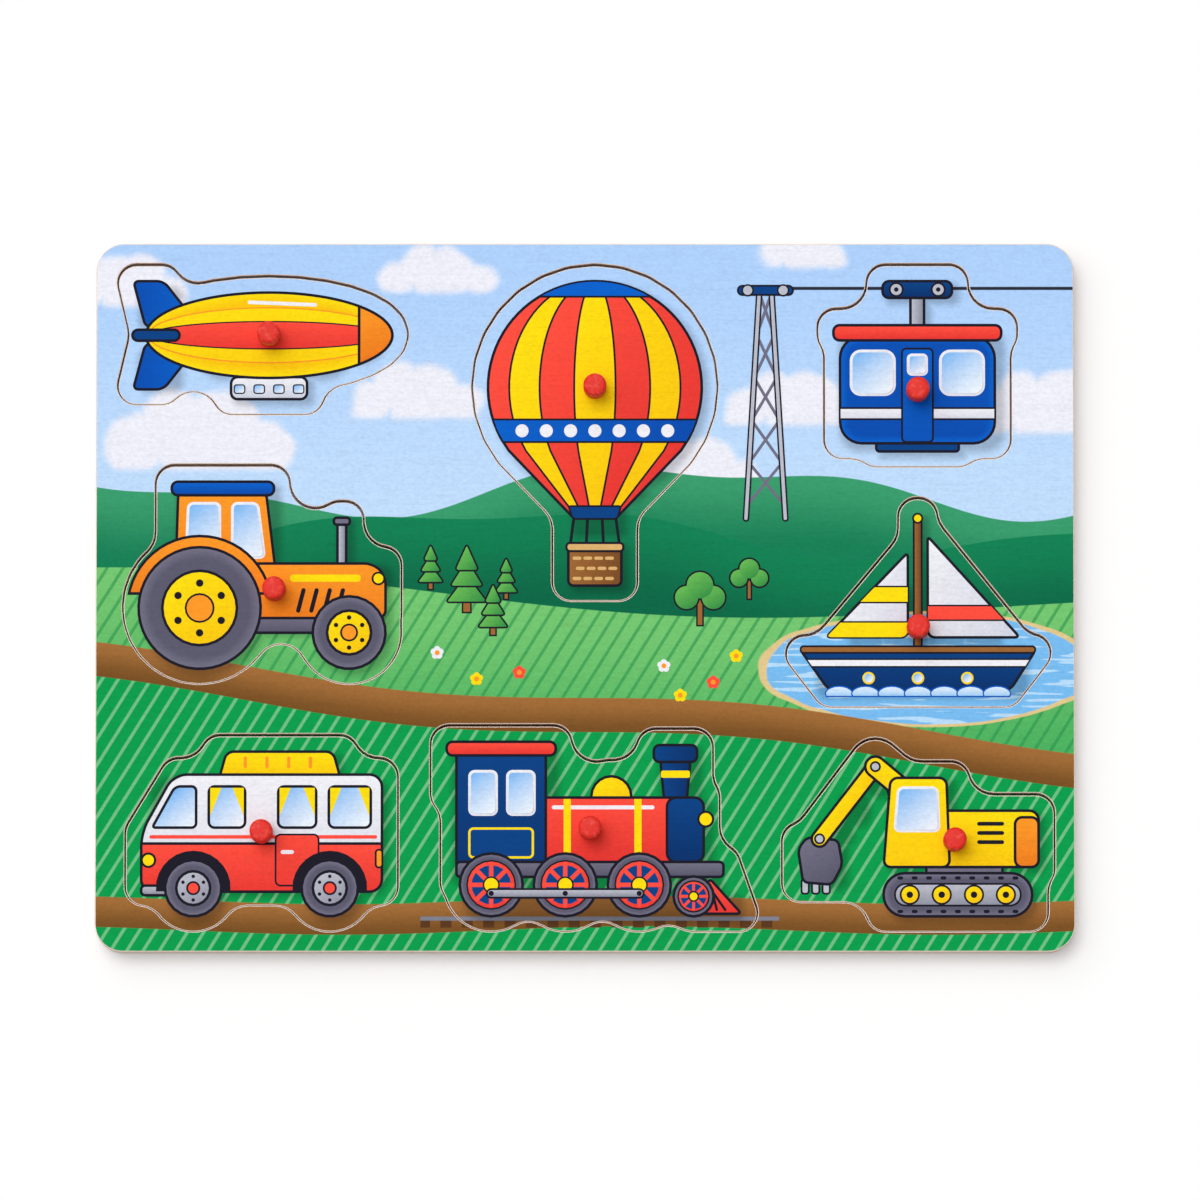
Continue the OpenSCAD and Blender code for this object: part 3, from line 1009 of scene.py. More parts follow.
    def lake(self, graph: Graph, under: object) -> bpy.types.NodeSocket:
        """Lays a lake with a sandy shore and pale ripples over the picture.

        Args:
            graph: Graph of the material.
            under: Colour of the picture so far.

        Returns:
            The colour with the lake.
        """
        (x, y), (rx, ry) = self.lake_at, self.lake_size
        wobble = graph.noise(self.lake_grain) - 0.5
        round_place = graph.flat((graph.x - x) / rx + wobble * self.lake_sway, (graph.y - y) / ry)
        far = graph.distance(round_place, (0.0, 0.0))
        ripple = graph.noise(self.ripple_grain).rise(*self.ripple_edge)
        water = graph.blend(ripple * self.ripple_tone, self.water, self.water_light)
        shore = graph.blend(far.fall(*self.shore_edge), under, self.sand)
        return graph.blend(far.fall(*self.water_edge), shore, water)

    def material(self, name: str, shapes: list[Patch]) -> bpy.types.Material:
        """Builds the printed background.

        Args:
            name: Name of the material.
            shapes: Rounded rectangles of a picture that throws a shade on it, or none.

        Returns:
            The material.
        """
        graph = Graph(name)
        picture = graph.blend(graph.y.rise(*self.sky_y), self.sky_low, self.sky_high)
        picture = graph.blend(self.cover(graph) * self.cloud_tone, picture, self.cloud)
        stripes = self.stripes(graph)
        for hill in self.hills:
            below = hill.top.height(graph) - graph.y
            land = graph.blend(below.rise(0.0, hill.depth), hill.light, hill.dark)
            if hill is self.hills[-1]:
                land = graph.blend(stripes * self.stripe_tone, land, self.stripe)
            picture = graph.blend(self.beyond(below, 0.0), picture, land)
        picture = self.lake(graph, picture)
        field = graph.blend(stripes * self.field_stripe_tone, self.field, self.field_stripe)
        below = self.field_top.height(graph) - graph.y
        picture = graph.blend(self.beyond(below, 0.0), picture, field)
        picture = self.road(graph, picture, self.field_top, self.road_w)
        picture = self.road(graph, picture, self.track, self.track_w)
        picture = self.rope(graph, self.rails(graph, picture))
        if shapes:
            picture = graph.vector("SCALE", picture, 1.0 - self.drop_shade(graph, shapes))
        return graph.print_on_wood(picture)


@dataclass(frozen=True)
class PlyEdge:
    """Sawn edge of plywood: pale and crossed veneers in turn, with thin glue lines between them."""

    pale: Colour = paint(238, 219, 206)
    crossed: Colour = paint(214, 187, 167)
    glue: Colour = paint(160, 126, 102)
    veneer_t: float = 1.3
    base_z: float = 3.0
    sway: Grain = Grain((0.12, 0.12, 0.3))
    fibres: Grain = Grain((0.9, 0.9, 2.4), 4.0)

    def material(self, name: str) -> bpy.types.Material:
        """Builds the sawn edge.

        Args:
            name: Name of the material.

        Returns:
            The material.
        """
        graph = Graph(name)
        sway = graph.noise(self.sway)
        layer = (graph.z - self.base_z + (sway - 0.5) * 0.3) / (2 * self.veneer_t)
        wave = abs(layer.part() - 0.5) * 4.0
        fibres = graph.noise(self.fibres)
        wood = graph.blend(wave.rise(0.85, 1.15), self.pale, self.crossed)
        wood = graph.blend(abs(wave - 1.0).fall(0.03, 0.12) * 0.6, wood, self.glue)
        tone = 0.86 + fibres * 0.28
        return graph.dress(graph.vector("SCALE", wood, tone), roughness=0.75, height=fibres, depth=0.08)


@dataclass(frozen=True)
class BareVeneer:
    """Unpainted face veneer with long grain, pores and a few darker streaks."""

    pale: Colour = paint(232, 204, 162)
    dark: Colour = paint(196, 156, 108)
    sway: Grain = Grain((0.006, 0.05, 0.05), 3.0)
    fibres: Grain = Grain((0.03, 1.6, 1.6), 5.0)
    streaks: Grain = Grain((0.01, 0.4, 0.4), 3.0)
    pores: Grain = Grain((0.12, 3.4, 3.4))

    def material(self, name: str) -> bpy.types.Material:
        """Builds the bare face.

        Args:
            name: Name of the material.

        Returns:
            The material.
        """
        graph = Graph(name)
        sway = graph.noise(self.sway)
        rings = ((graph.y * 0.16 + sway * 9.0).sine() * 0.5 + 0.5) * 0.6
        fibres = graph.noise(self.fibres)
        streaks = graph.noise(self.streaks)
        pores = graph.noise(self.pores).rise(0.6, 0.7)
        wood = graph.blend(rings * 0.4 + fibres * 0.3 + streaks * 0.4, self.pale, self.dark)
        tone = 1.0 + (fibres - 0.5) * 0.24 + (streaks - 0.5) * 0.16 - pores * 0.16
        shown = graph.vector("SCALE", wood, tone)
        return graph.dress(shown, roughness=0.7, height=fibres - pores, depth=0.06)


@dataclass(frozen=True)
class PegPaint:
    """Red satin paint on a dowel, a little uneven, with the grain of the wood under it."""

    red: Colour = paint(226, 44, 34)
    worn: Colour = paint(236, 92, 78)
    coat: Grain = Grain((0.7, 0.7, 0.35), 3.0)
    fibres: Grain = Grain((2.4, 2.4, 0.25), 3.0)

    def material(self, name: str) -> bpy.types.Material:
        """Builds the paint.

        Args:
            name: Name of the material.

        Returns:
            The material.
        """
        graph = Graph(name)
        coat = graph.noise(self.coat)
        fibres = graph.noise(self.fibres)
        colour = graph.blend(coat.rise(0.48, 0.72) * 0.6, self.red, self.worn)
        tone = 0.84 + fibres * 0.32
        shown = graph.vector("SCALE", colour, tone)
        return graph.dress(shown, roughness=0.38 + coat * 0.16, height=coat + fibres, depth=0.05, shine=0.16)


class Side(Enum):
    """Which way a face of a board points."""

    FACE = 0
    EDGE = 1
    UNDER = 2


@dataclass
class SawnBoard:
    """A board or piece copied from its solid, with eased edges and its own finish on each side.

    LEVEL is how far a flat face has to point up or down. WELD is in metres, and NEAR and RIM_NEAR are
    tolerances in millimetres.
    """

    LEVEL = 0.99
    WELD = 1e-7
    NEAR = 0.01
    RIM_NEAR = 0.02
    STRAIGHT = math.radians(0.4)
    CREASE = math.radians(60.0)

    node: str
    body: str
    slot: str
    finishes: dict[Side, bpy.types.Material]
    eased: Side = Side.FACE
    lip: float = 0.22
    rim: float = 0.3
    eased_steps: int = 2
    corner_r: float = 8.5

    def on_rim(self, place: Vector, half: Vector) -> bool:
        """Whether a point lies on the outer edge of the boards.

        Args:
            place: The point in metres.
            half: Half of the length and depth of the boards.

        Returns:
            True on the rounded rectangle that is their outline.
        """
        inner = self.corner_r * MM
        dx = max(abs(place.x) - half.x + inner, 0.0)
        dy = max(abs(place.y) - half.y + inner, 0.0)
        return math.hypot(dx, dy) > inner - self.RIM_NEAR * MM

    def build(self) -> bpy.types.Object:
        """Makes the piece.

        Returns:
            The object that stands for the solid.
        """
        low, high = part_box(self.node)
        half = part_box("frame_board")[1]
        bm = bmesh.new()
        bm.from_mesh(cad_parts[self.node].data)
        bmesh.ops.remove_doubles(bm, verts=bm.verts, dist=self.WELD)
        bmesh.ops.dissolve_limit(bm, angle_limit=self.STRAIGHT, verts=bm.verts, edges=bm.edges)
        self.ease(bm, low.z if self.eased is Side.UNDER else high.z, half)
        for face in bm.faces:
            up = face.normal.z
            side = Side.FACE if up > self.LEVEL else Side.UNDER if up < -self.LEVEL else Side.EDGE
            face.material_index = side.value
        mesh = bpy.data.meshes.new(self.node + "_wood")
        bm.to_mesh(mesh)
        bm.free()
        for side in Side:
            mesh.materials.append(self.finishes[side])
        mesh.set_sharp_from_angle(angle=SHARP)
        for face in mesh.polygons:
            face.use_smooth = abs(face.normal.z) < self.LEVEL
        piece = place_piece(self.node + "_wood", mesh, self.body)
        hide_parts(self.node)
        return piece

    def ease(self, bm: bmesh.types.BMesh, level: float, half: Vector) -> None:
        """Rounds the sharp edges at one level: the outer edge of the boards more than the saw cuts.

        Args:
            bm: The board.
            level: Height of the edges in metres.
            half: Half of the length and depth of the boards.
        """
        outer, cuts = [], []
        for edge in bm.edges:
            flat = all(abs(v.co.z - level) < self.NEAR * MM for v in edge.verts)
            if flat and edge.is_manifold and edge.calc_face_angle() > self.CREASE:
                on_rim = all(self.on_rim(v.co, half) for v in edge.verts)
                (outer if on_rim else cuts).append(edge)
        for edges, width in ((outer, self.rim), (cuts, self.lip)):
            if edges:
                bmesh.ops.bevel(
                    bm, geom=edges, offset=width * MM, offset_type="OFFSET", segments=self.eased_steps,
                    profile=0.5, affect="EDGES", clamp_overlap=False, material=-1,
                )


@dataclass
class Peg:
    """A dowel peg with a rounded end, glued into the piece of a vehicle."""

    vehicle: str
    paint: bpy.types.Material
    edge_r: float = 1.2
    edge_steps: int = 5
    steps: int = 64

    def build(self) -> bpy.types.Object:
        """Makes the peg.

        Returns:
            The object that stands for the solid.
        """
        node = self.vehicle + "_peg"
        low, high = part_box(node)
        radius = (high.x - low.x) / 2
        bm = bmesh.new()
        bmesh.ops.create_cone(
            bm, cap_ends=True, segments=self.steps, radius1=radius, radius2=radius, depth=high.z - low.z,
        )
        top = [edge for edge in bm.edges if all(v.co.z > 0 for v in edge.verts)]
        bmesh.ops.bevel(
            bm, geom=top, offset=self.edge_r * MM, offset_type="OFFSET", segments=self.edge_steps,
            profile=0.5, affect="EDGES", clamp_overlap=True, material=-1,
        )
        bmesh.ops.translate(bm, vec=(low + high) / 2, verts=bm.verts)
        mesh = bpy.data.meshes.new(node + "_paint")
        bm.to_mesh(mesh)
        bm.free()
        mesh.materials.append(self.paint)
        mesh.set_sharp_from_angle(angle=SHARP)
        piece = place_piece(node + "_paint", mesh, self.vehicle)
        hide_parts(node)
        return piece


@dataclass
class Vehicle:
    """A picture with its sawn piece and peg.

    The grip is where the peg stands in the picture, and the masses are rounded rectangles that it is made of.
    """

    name: str
    grip: Point
    masses: tuple[Patch, ...]

    def origin(self, level: float) -> Vector:
        """Place of the picture's origin on a face.

        Args:
            level: Height of the face in metres.

        Returns:
            The place in metres.
        """
        low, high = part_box(self.name + "_peg")
        middle = (low + high) / 2
        return Vector((middle.x - self.grip[0] * MM, middle.y - self.grip[1] * MM, level))

    def shapes(self) -> list[Patch]:
        """Rounded rectangles that make up the picture.

        Returns:
            Each as left, low, right, high and corner radius, in millimetres on the board.
        """
        x, y, _ = self.origin(0.0) / MM
        return [
            (left + x, low + y, right + x, high + y, radius)
            for left, low, right, high, radius in self.masses
        ]

    def draw(self, art: Artwork) -> None:
        """Lays the picture. Each vehicle has its own."""
        raise NotImplementedError

    def build(self) -> None:
        """Prints the picture on the piece and once more on the floor of its well."""
        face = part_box(self.name + "_piece")[1].z
        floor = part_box("backing_board")[1].z
        for where, level, body, slot in (
            ("picture", face, self.name, "printed_sheet"), ("well_picture", floor, "board", "backing"),
        ):
            art = Artwork()
            self.draw(art)
            title = f"{self.name}_{where}"
            place_piece(title, art.mesh(title, self.origin(level)), body)


@dataclass
class Airship(Vehicle):
    """A yellow airship with blue fins. Origin at the middle of the hull."""

    name: str = "airship"
    grip: Point = (0.0, 0.0)
    masses: tuple[Patch, ...] = (
        (-34.0, -7.0, 34.0, 7.0, 7.0), (-24.0, -12.0, 24.0, 12.0, 9.0), (-41.0, 3.0, -28.0, 16.0, 3.0),
        (-41.0, -16.0, -28.0, -3.0, 3.0), (-12.0, -20.0, 12.0, -12.0, 2.0),
    )
    hull: Point = (38.0, 13.5)
    fin: Outline = ((-21.0, 3.0), (-32.0, 17.0), (-42.0, 17.0), (-38.0, 2.0))
    boom: Stretch = ((-40.0, 0.0), (-29.0, 0.0))
    boom_w: float = 4.2
    nose_x: float = 27.0
    seam: float = 8.6
    belt: float = 4.4
    cabin: Span = (-12.0, -20.0, 12.0, -12.4)
    panes: int = 4
    pane_w: float = 3.6
    pane_h: float = 3.0
    pane_sill: float = 2.0
    shine: Stretch = ((-6.0, 10.1), (14.0, 9.3))
    shine_w: float = 1.1

    def draw(self, art: Artwork) -> None:
        """Lays the fins, the cabin, and the hull with its seam and belt.

        Args:
            art: The picture.
        """
        for side in (1, -1):
            fin = art.shape([(x, side * y) for x, y in self.fin], 2.2)
            art.lay(fin, Inks.BLUE, fade=Fade(180.0, end=0.8))
        left, low, right, _ = self.cabin
        art.lay(art.box(self.cabin, 2.4), Inks.WHITE, fade=Fade(end=0.9))
        sill = low + self.pane_sill
        for index in range(self.panes):
            x = left + (right - left) * (index + 0.5) / self.panes
            pane = art.box((x - self.pane_w / 2, sill, x + self.pane_w / 2, sill + self.pane_h), 0.9)
            art.lay(pane, Inks.GLASS, line=0.4, fade=Fade.glint())
        rx, ry = self.hull
        art.lay(art.oval(0.0, 0.0, rx, ry), Inks.YELLOW, fade=Fade(end=0.55, rim=3.0, rim_tone=0.9))
        inner = rx - art.LINE_W
        seam = art.oval(0.0, 0.0, inner, self.seam)
        art.lay(seam, Inks.YELLOW, line=0.4, edge=Inks.ORANGE, fade=Fade(end=0.45))
        art.lay(art.oval(0.0, 0.0, inner, self.belt), Inks.RED, line=0.4, fade=Fade(end=0.8))
        nose = art.cut(art.oval(0.0, 0.0, rx, ry), (self.nose_x, 0.0), (-1.0, 0.0))
        art.lay(nose, Inks.ORANGE, fade=Fade(-70.0, end=0.9))
        art.lay(art.bar(*self.boom, self.boom_w), Inks.NAVY)
        art.lay(art.bar(*self.shine, self.shine_w), Inks.WHITE, line=0)


@dataclass
class Tractor(Vehicle):
    """An orange tractor. Origin on the ground under the rear axle."""

    name: str = "tractor"
    grip: Point = (22.75, 24.5)
    masses: tuple[Patch, ...] = (
        (-8.0, 22.0, 23.0, 58.0, 2.0), (15.0, 12.0, 57.0, 33.0, 3.0), (-19.0, 0.0, 19.0, 38.0, 19.0),
        (34.0, 0.0, 57.0, 23.0, 11.5), (41.0, 28.0, 45.5, 47.0, 1.0),
    )
    rear_r: float = 19.0
    front_r: float = 11.5
    wheelbase: float = 45.5
    exhaust: Span = (41.5, 28.0, 45.0, 45.5)
    exhaust_cap: Span = (40.4, 44.0, 46.1, 47.0)
    cab: Outline = ((-8.0, 22.0), (-7.0, 55.0), (20.5, 55.0), (24.5, 22.0))
    panes: tuple[Outline, ...] = (
        ((-4.6, 34.0), (-3.9, 51.4), (6.5, 51.4), (6.5, 34.0)),
        ((9.5, 34.0), (9.5, 51.4), (18.0, 51.4), (20.2, 34.0)),
    )
    roof: Span = (-9.0, 53.0, 23.0, 58.0)
    bonnet: Outline = ((15.0, 15.5), (15.0, 33.0), (53.0, 33.0), (57.0, 29.0), (57.0, 15.5))
    chassis: Span = (6.0, 11.0, 52.0, 17.0)
    belt: Span = (27.5, 27.0, 49.0, 29.2)
    vents_x: Row = (30.0, 34.0, 38.0, 42.0)
    vent_y: Point = (18.2, 24.4)
    vent_lean: float = 1.6
    vent_w: float = 1.3
    lamp: Triple = (54.4, 28.0, 2.1)
    guard_r: float = 22.4
    guard_rise: float = 4.0

    def draw(self, art: Artwork) -> None:
        """Lays the cab, the bonnet, the mudguard and the wheels.

        Args:
            art: The picture.
        """
        art.lay(art.box(self.exhaust), Inks.GREY, fade=Fade(0.0, end=1.0))
        art.lay(art.box(self.exhaust_cap), Inks.TYRE)
        art.lay(art.shape(list(self.cab), 2.4), Inks.ORANGE, fade=Fade(end=0.7))
        for corners in self.panes:
            art.pane(art.shape(list(corners), 2.0))
        art.lay(art.box(self.roof, 2.3), Inks.BLUE, fade=Fade(end=0.9))
        art.lay(art.box(self.chassis, 2.0), Inks.TYRE, fade=Fade(end=0.9))
        art.lay(art.shape(list(self.bonnet), 2.8), Inks.ORANGE, fade=Fade(end=0.8))
        art.lay(art.box(self.belt, 1.0), Inks.YELLOW, line=0)
        for x in self.vents_x:
            low, high = self.vent_y
            art.lay(art.bar((x, low), (x + self.vent_lean, high), self.vent_w), Inks.LINE, line=0)
        art.lay(art.disc(*self.lamp), Inks.YELLOW, line=0.6)
        whole = art.disc(0.0, self.rear_r, self.guard_r)
        guard = art.cut(whole, (0.0, self.rear_r + self.guard_rise), (0.0, -1.0))
        art.lay(guard, Inks.ORANGE, fade=Fade(end=0.8))
        art.wheel(0.0, self.rear_r, self.rear_r, Inks.YELLOW, Inks.ORANGE)
        art.wheel(self.wheelbase, self.front_r, self.front_r, Inks.YELLOW, Inks.ORANGE)


@dataclass
class Camper(Vehicle):
    """A white and red camper van with a raised roof. Origin on the ground under the middle of the body."""

    name: str = "camper"
    grip: Point = (0.0, 26.0)
    masses: tuple[Patch, ...] = (
        (-35.0, 8.0, 37.0, 44.0, 6.0), (-12.0, 42.0, 23.0, 51.0, 2.0), (-29.75, 0.0, -11.75, 18.0, 9.0),
        (11.75, 0.0, 29.75, 18.0, 9.0),
    )
    body: Outline = ((-37.0, 7.5), (-37.0, 26.0), (-27.0, 44.0), (37.0, 44.0), (37.0, 7.5))
    waist: float = 23.0
    top: Outline = ((-13.5, 42.0), (-11.0, 51.0), (22.0, 51.0), (24.5, 42.0))
    ribs_x: Row = (-5.0, 1.6, 8.2, 14.8)
    rib_y: Point = (46.0, 48.6)
    rib_w: float = 1.0
    trim: Stretch = ((-33.6, 24.6), (34.6, 24.6))
    trim_w: float = 1.1
    screen: Outline = ((-34.0, 27.0), (-26.6, 40.4), (-19.5, 40.4), (-19.5, 27.0))
    panes: tuple[Span, ...] = ((-16.5, 27.0, -4.6, 40.4), (4.6, 27.0, 17.0, 40.4), (20.0, 27.0, 33.6, 40.4))
    drape_w: float = 3.4
    drape_sill: float = 4.0
    door: Span = (4.0, 9.5, 17.6, 25.6)
    handle: Stretch = ((6.4, 20.0), (9.2, 20.0))
    handle_w: float = 1.2
    lamp: Triple = (-34.4, 17.5, 2.4)
    tail_lamp: Span = (34.4, 15.0, 37.0, 21.0)
    bumper: Span = (-37.0, 6.4, -27.0, 10.2)
    wheel_r: float = 9.0
    axles: Point = (-20.75, 20.75)
    arch_r: float = 11.4
    arch_drop: float = 1.0

    def draw(self, art: Artwork) -> None:
        """Lays the roof, the two-tone body, its windows and the wheels.

        Args:
            art: The picture.
        """
        art.lay(art.shape(list(self.top), 2.4), Inks.YELLOW, fade=Fade(end=0.8))
        for x in self.ribs_x:
            low, high = self.rib_y
            art.lay(art.bar((x, low), (x, high), self.rib_w), Inks.ORANGE, line=0)
        art.lay(art.shape(list(self.body), 4.2), Inks.WHITE, fade=Fade(end=0.6))
        lower = art.cut(art.shape(list(self.body), 4.2), (0.0, self.waist), (0.0, 1.0))
        art.lay(lower, Inks.RED, fade=Fade(end=0.8))
        art.lay(art.bar(*self.trim, self.trim_w), Inks.RED, line=0)
        art.lay(art.shape(list(self.screen), 1.8), Inks.GLASS, fade=Fade.glint())
        for span in self.panes:
            art.lay(art.box(span, 2.2), Inks.GLASS, fade=Fade.glint())
            left, low, right, high = span
            top = high - art.LINE_W
            for x, lean in ((left + art.LINE_W, self.drape_w), (right - art.LINE_W, -self.drape_w)):
                drape = [(x, low + self.drape_sill), (x, top), (x + lean, top)]
                art.lay(art.shape(drape, 0.0), Inks.YELLOW, line=0)
        art.lay(art.box(self.door, 1.8), Inks.RED, line=0.55, fade=Fade(start=0.1, end=0.7))
        art.lay(art.bar(*self.handle, self.handle_w), Inks.WHITE, line=0)
        art.lay(art.box(self.tail_lamp, 1.2), Inks.ORANGE, line=0.6)
        art.lay(art.disc(*self.lamp), Inks.YELLOW, line=0.7)
        art.lay(art.box(self.bumper, 1.6), Inks.GREY, fade=Fade(end=0.9))
        for x in self.axles:
            whole = art.disc(x, self.wheel_r, self.arch_r)
            arch = art.cut(whole, (0.0, self.wheel_r - self.arch_drop), (0.0, -1.0))
            art.lay(arch, Inks.LINE, line=0)
            art.wheel(x, self.wheel_r, self.wheel_r, Inks.GREY, Inks.RED)


@dataclass
class Balloon(Vehicle):
    """A hot-air balloon with coloured gores. Origin at the middle of the envelope."""

    name: str = "balloon"
    grip: Point = (0.0, 0.0)
    masses: tuple[Patch, ...] = (
        (-33.0, -33.0, 33.0, 33.0, 33.0), (-15.0, -34.0, 15.0, -14.0, 6.0), (-8.0, -44.0, 8.0, -30.0, 2.0),
        (-8.5, -61.0, 8.5, -47.0, 2.0),
    )
    radius: float = 33.0
    shoulder: float = -19.5
    mouth: Point = (7.0, -40.0)
    gores: tuple[tuple[float, Inks], ...] = (
        (1.0, Inks.RED), (0.8, Inks.YELLOW), (0.52, Inks.RED), (0.2, Inks.YELLOW),
    )
    belt: Point = (-17.0, -9.5)
    crown: float = 27.5
    skirt: Outline = ((-7.0, -40.5), (-8.4, -36.0), (8.4, -36.0), (7.0, -40.5))
    dots: int = 7
    dot_pitch: float = 7.4
    dot_r: float = 2.0
    ropes: Row = (-1.0, -0.35, 0.35, 1.0)
    rope_x: Point = (6.4, 7.6)
    rope_foot: float = -49.0
    rope_w: float = 0.9
    basket: Span = (-8.5, -61.0, 8.5, -48.0)
    basket_rim: Span = (-9.0, -50.4, 9.0, -47.2)
    weave_from: Point = (2.2, 2.6)
    weave_pitch: Point = (3.3, 3.1)
    weave_shift: float = 1.0
    weave_counts: tuple[int, int] = (4, 3)
    strand: Point = (1.7, 1.0)

    def envelope(self, art: Artwork, share: float) -> bmesh.types.BMFace:
        """Outline of the envelope, drawn narrower for the inner gores.

        Args:
            art: The picture.
            share: Width as a share of the whole.

        Returns:
            The flat face.
        """
        top = art.cut(art.disc(0.0, 0.0, self.radius), (0.0, self.shoulder), (0.0, -1.0))
        sill = min(top.edges, key=lambda edge: edge.verts[0].co.y + edge.verts[1].co.y)
        drawn = bmesh.ops.extrude_edge_only(art.bm, edges=[sill])["geom"]
        hem = [g for g in drawn if isinstance(g, bmesh.types.BMVert)]
        for vert in hem:
            vert.co = (math.copysign(self.mouth[0], vert.co.x), self.mouth[1], 0.0)
        skirt = next(g for g in drawn if isinstance(g, bmesh.types.BMFace))
        whole = bmesh.ops.dissolve_faces(art.bm, faces=[top, skirt])["region"][0]
        bmesh.ops.scale(art.bm, vec=(share, 1.0, 1.0), verts=whole.verts)
        return whole

    def weave(self, art: Artwork) -> None:
        """Lays the strands of the basket.

        Args:
            art: The picture.
        """
        left, low, _, _ = self.basket
        length, width = self.strand
        columns, rows = self.weave_counts
        for row in range(rows):
            y = low + self.weave_from[1] + row * self.weave_pitch[1]
            for column in range(columns):
                x = left + self.weave_from[0] + column * self.weave_pitch[0] + (row % 2) * self.weave_shift
                art.lay(art.bar((x, y), (x + length, y), width), Inks.TAN, line=0)

    def draw(self, art: Artwork) -> None:
        """Lays the ropes, the gores with their belt and crown, and the basket.

        Args:
            art: The picture.
        """
        above, below = self.rope_x
        for share in self.ropes:
            top, foot = (share * above, self.mouth[1]), (share * below, self.rope_foot)
            art.lay(art.bar(top, foot, self.rope_w), Inks.LINE, line=0)
        for share, ink in self.gores:
            line = art.LINE_W if share == 1.0 else 0.6
            art.lay(self.envelope(art, share), ink, line=line, fade=Fade(-35.0, end=0.85))
        whole = self.envelope(art, 1.0)
        art.lay(art.band(whole, *self.belt), Inks.BLUE, line=0.6, fade=Fade(0.0, end=0.9))
        for index in range(self.dots):
            x = (index - (self.dots - 1) / 2) * self.dot_pitch
            art.lay(art.disc(x, sum(self.belt) / 2, self.dot_r), Inks.WHITE, line=0)
        art.lay(art.cut(self.envelope(art, 1.0), (0.0, self.crown), (0.0, -1.0)), Inks.BLUE, line=0.6)
        art.lay(art.shape(list(self.skirt), 1.2), Inks.NAVY, line=0.6)
        art.lay(art.box(self.basket, 2.0), Inks.BROWN, fade=Fade(0.0, end=0.9))
        self.weave(art)
        art.lay(art.box(self.basket_rim, 1.4), Inks.TAN, line=0.7)


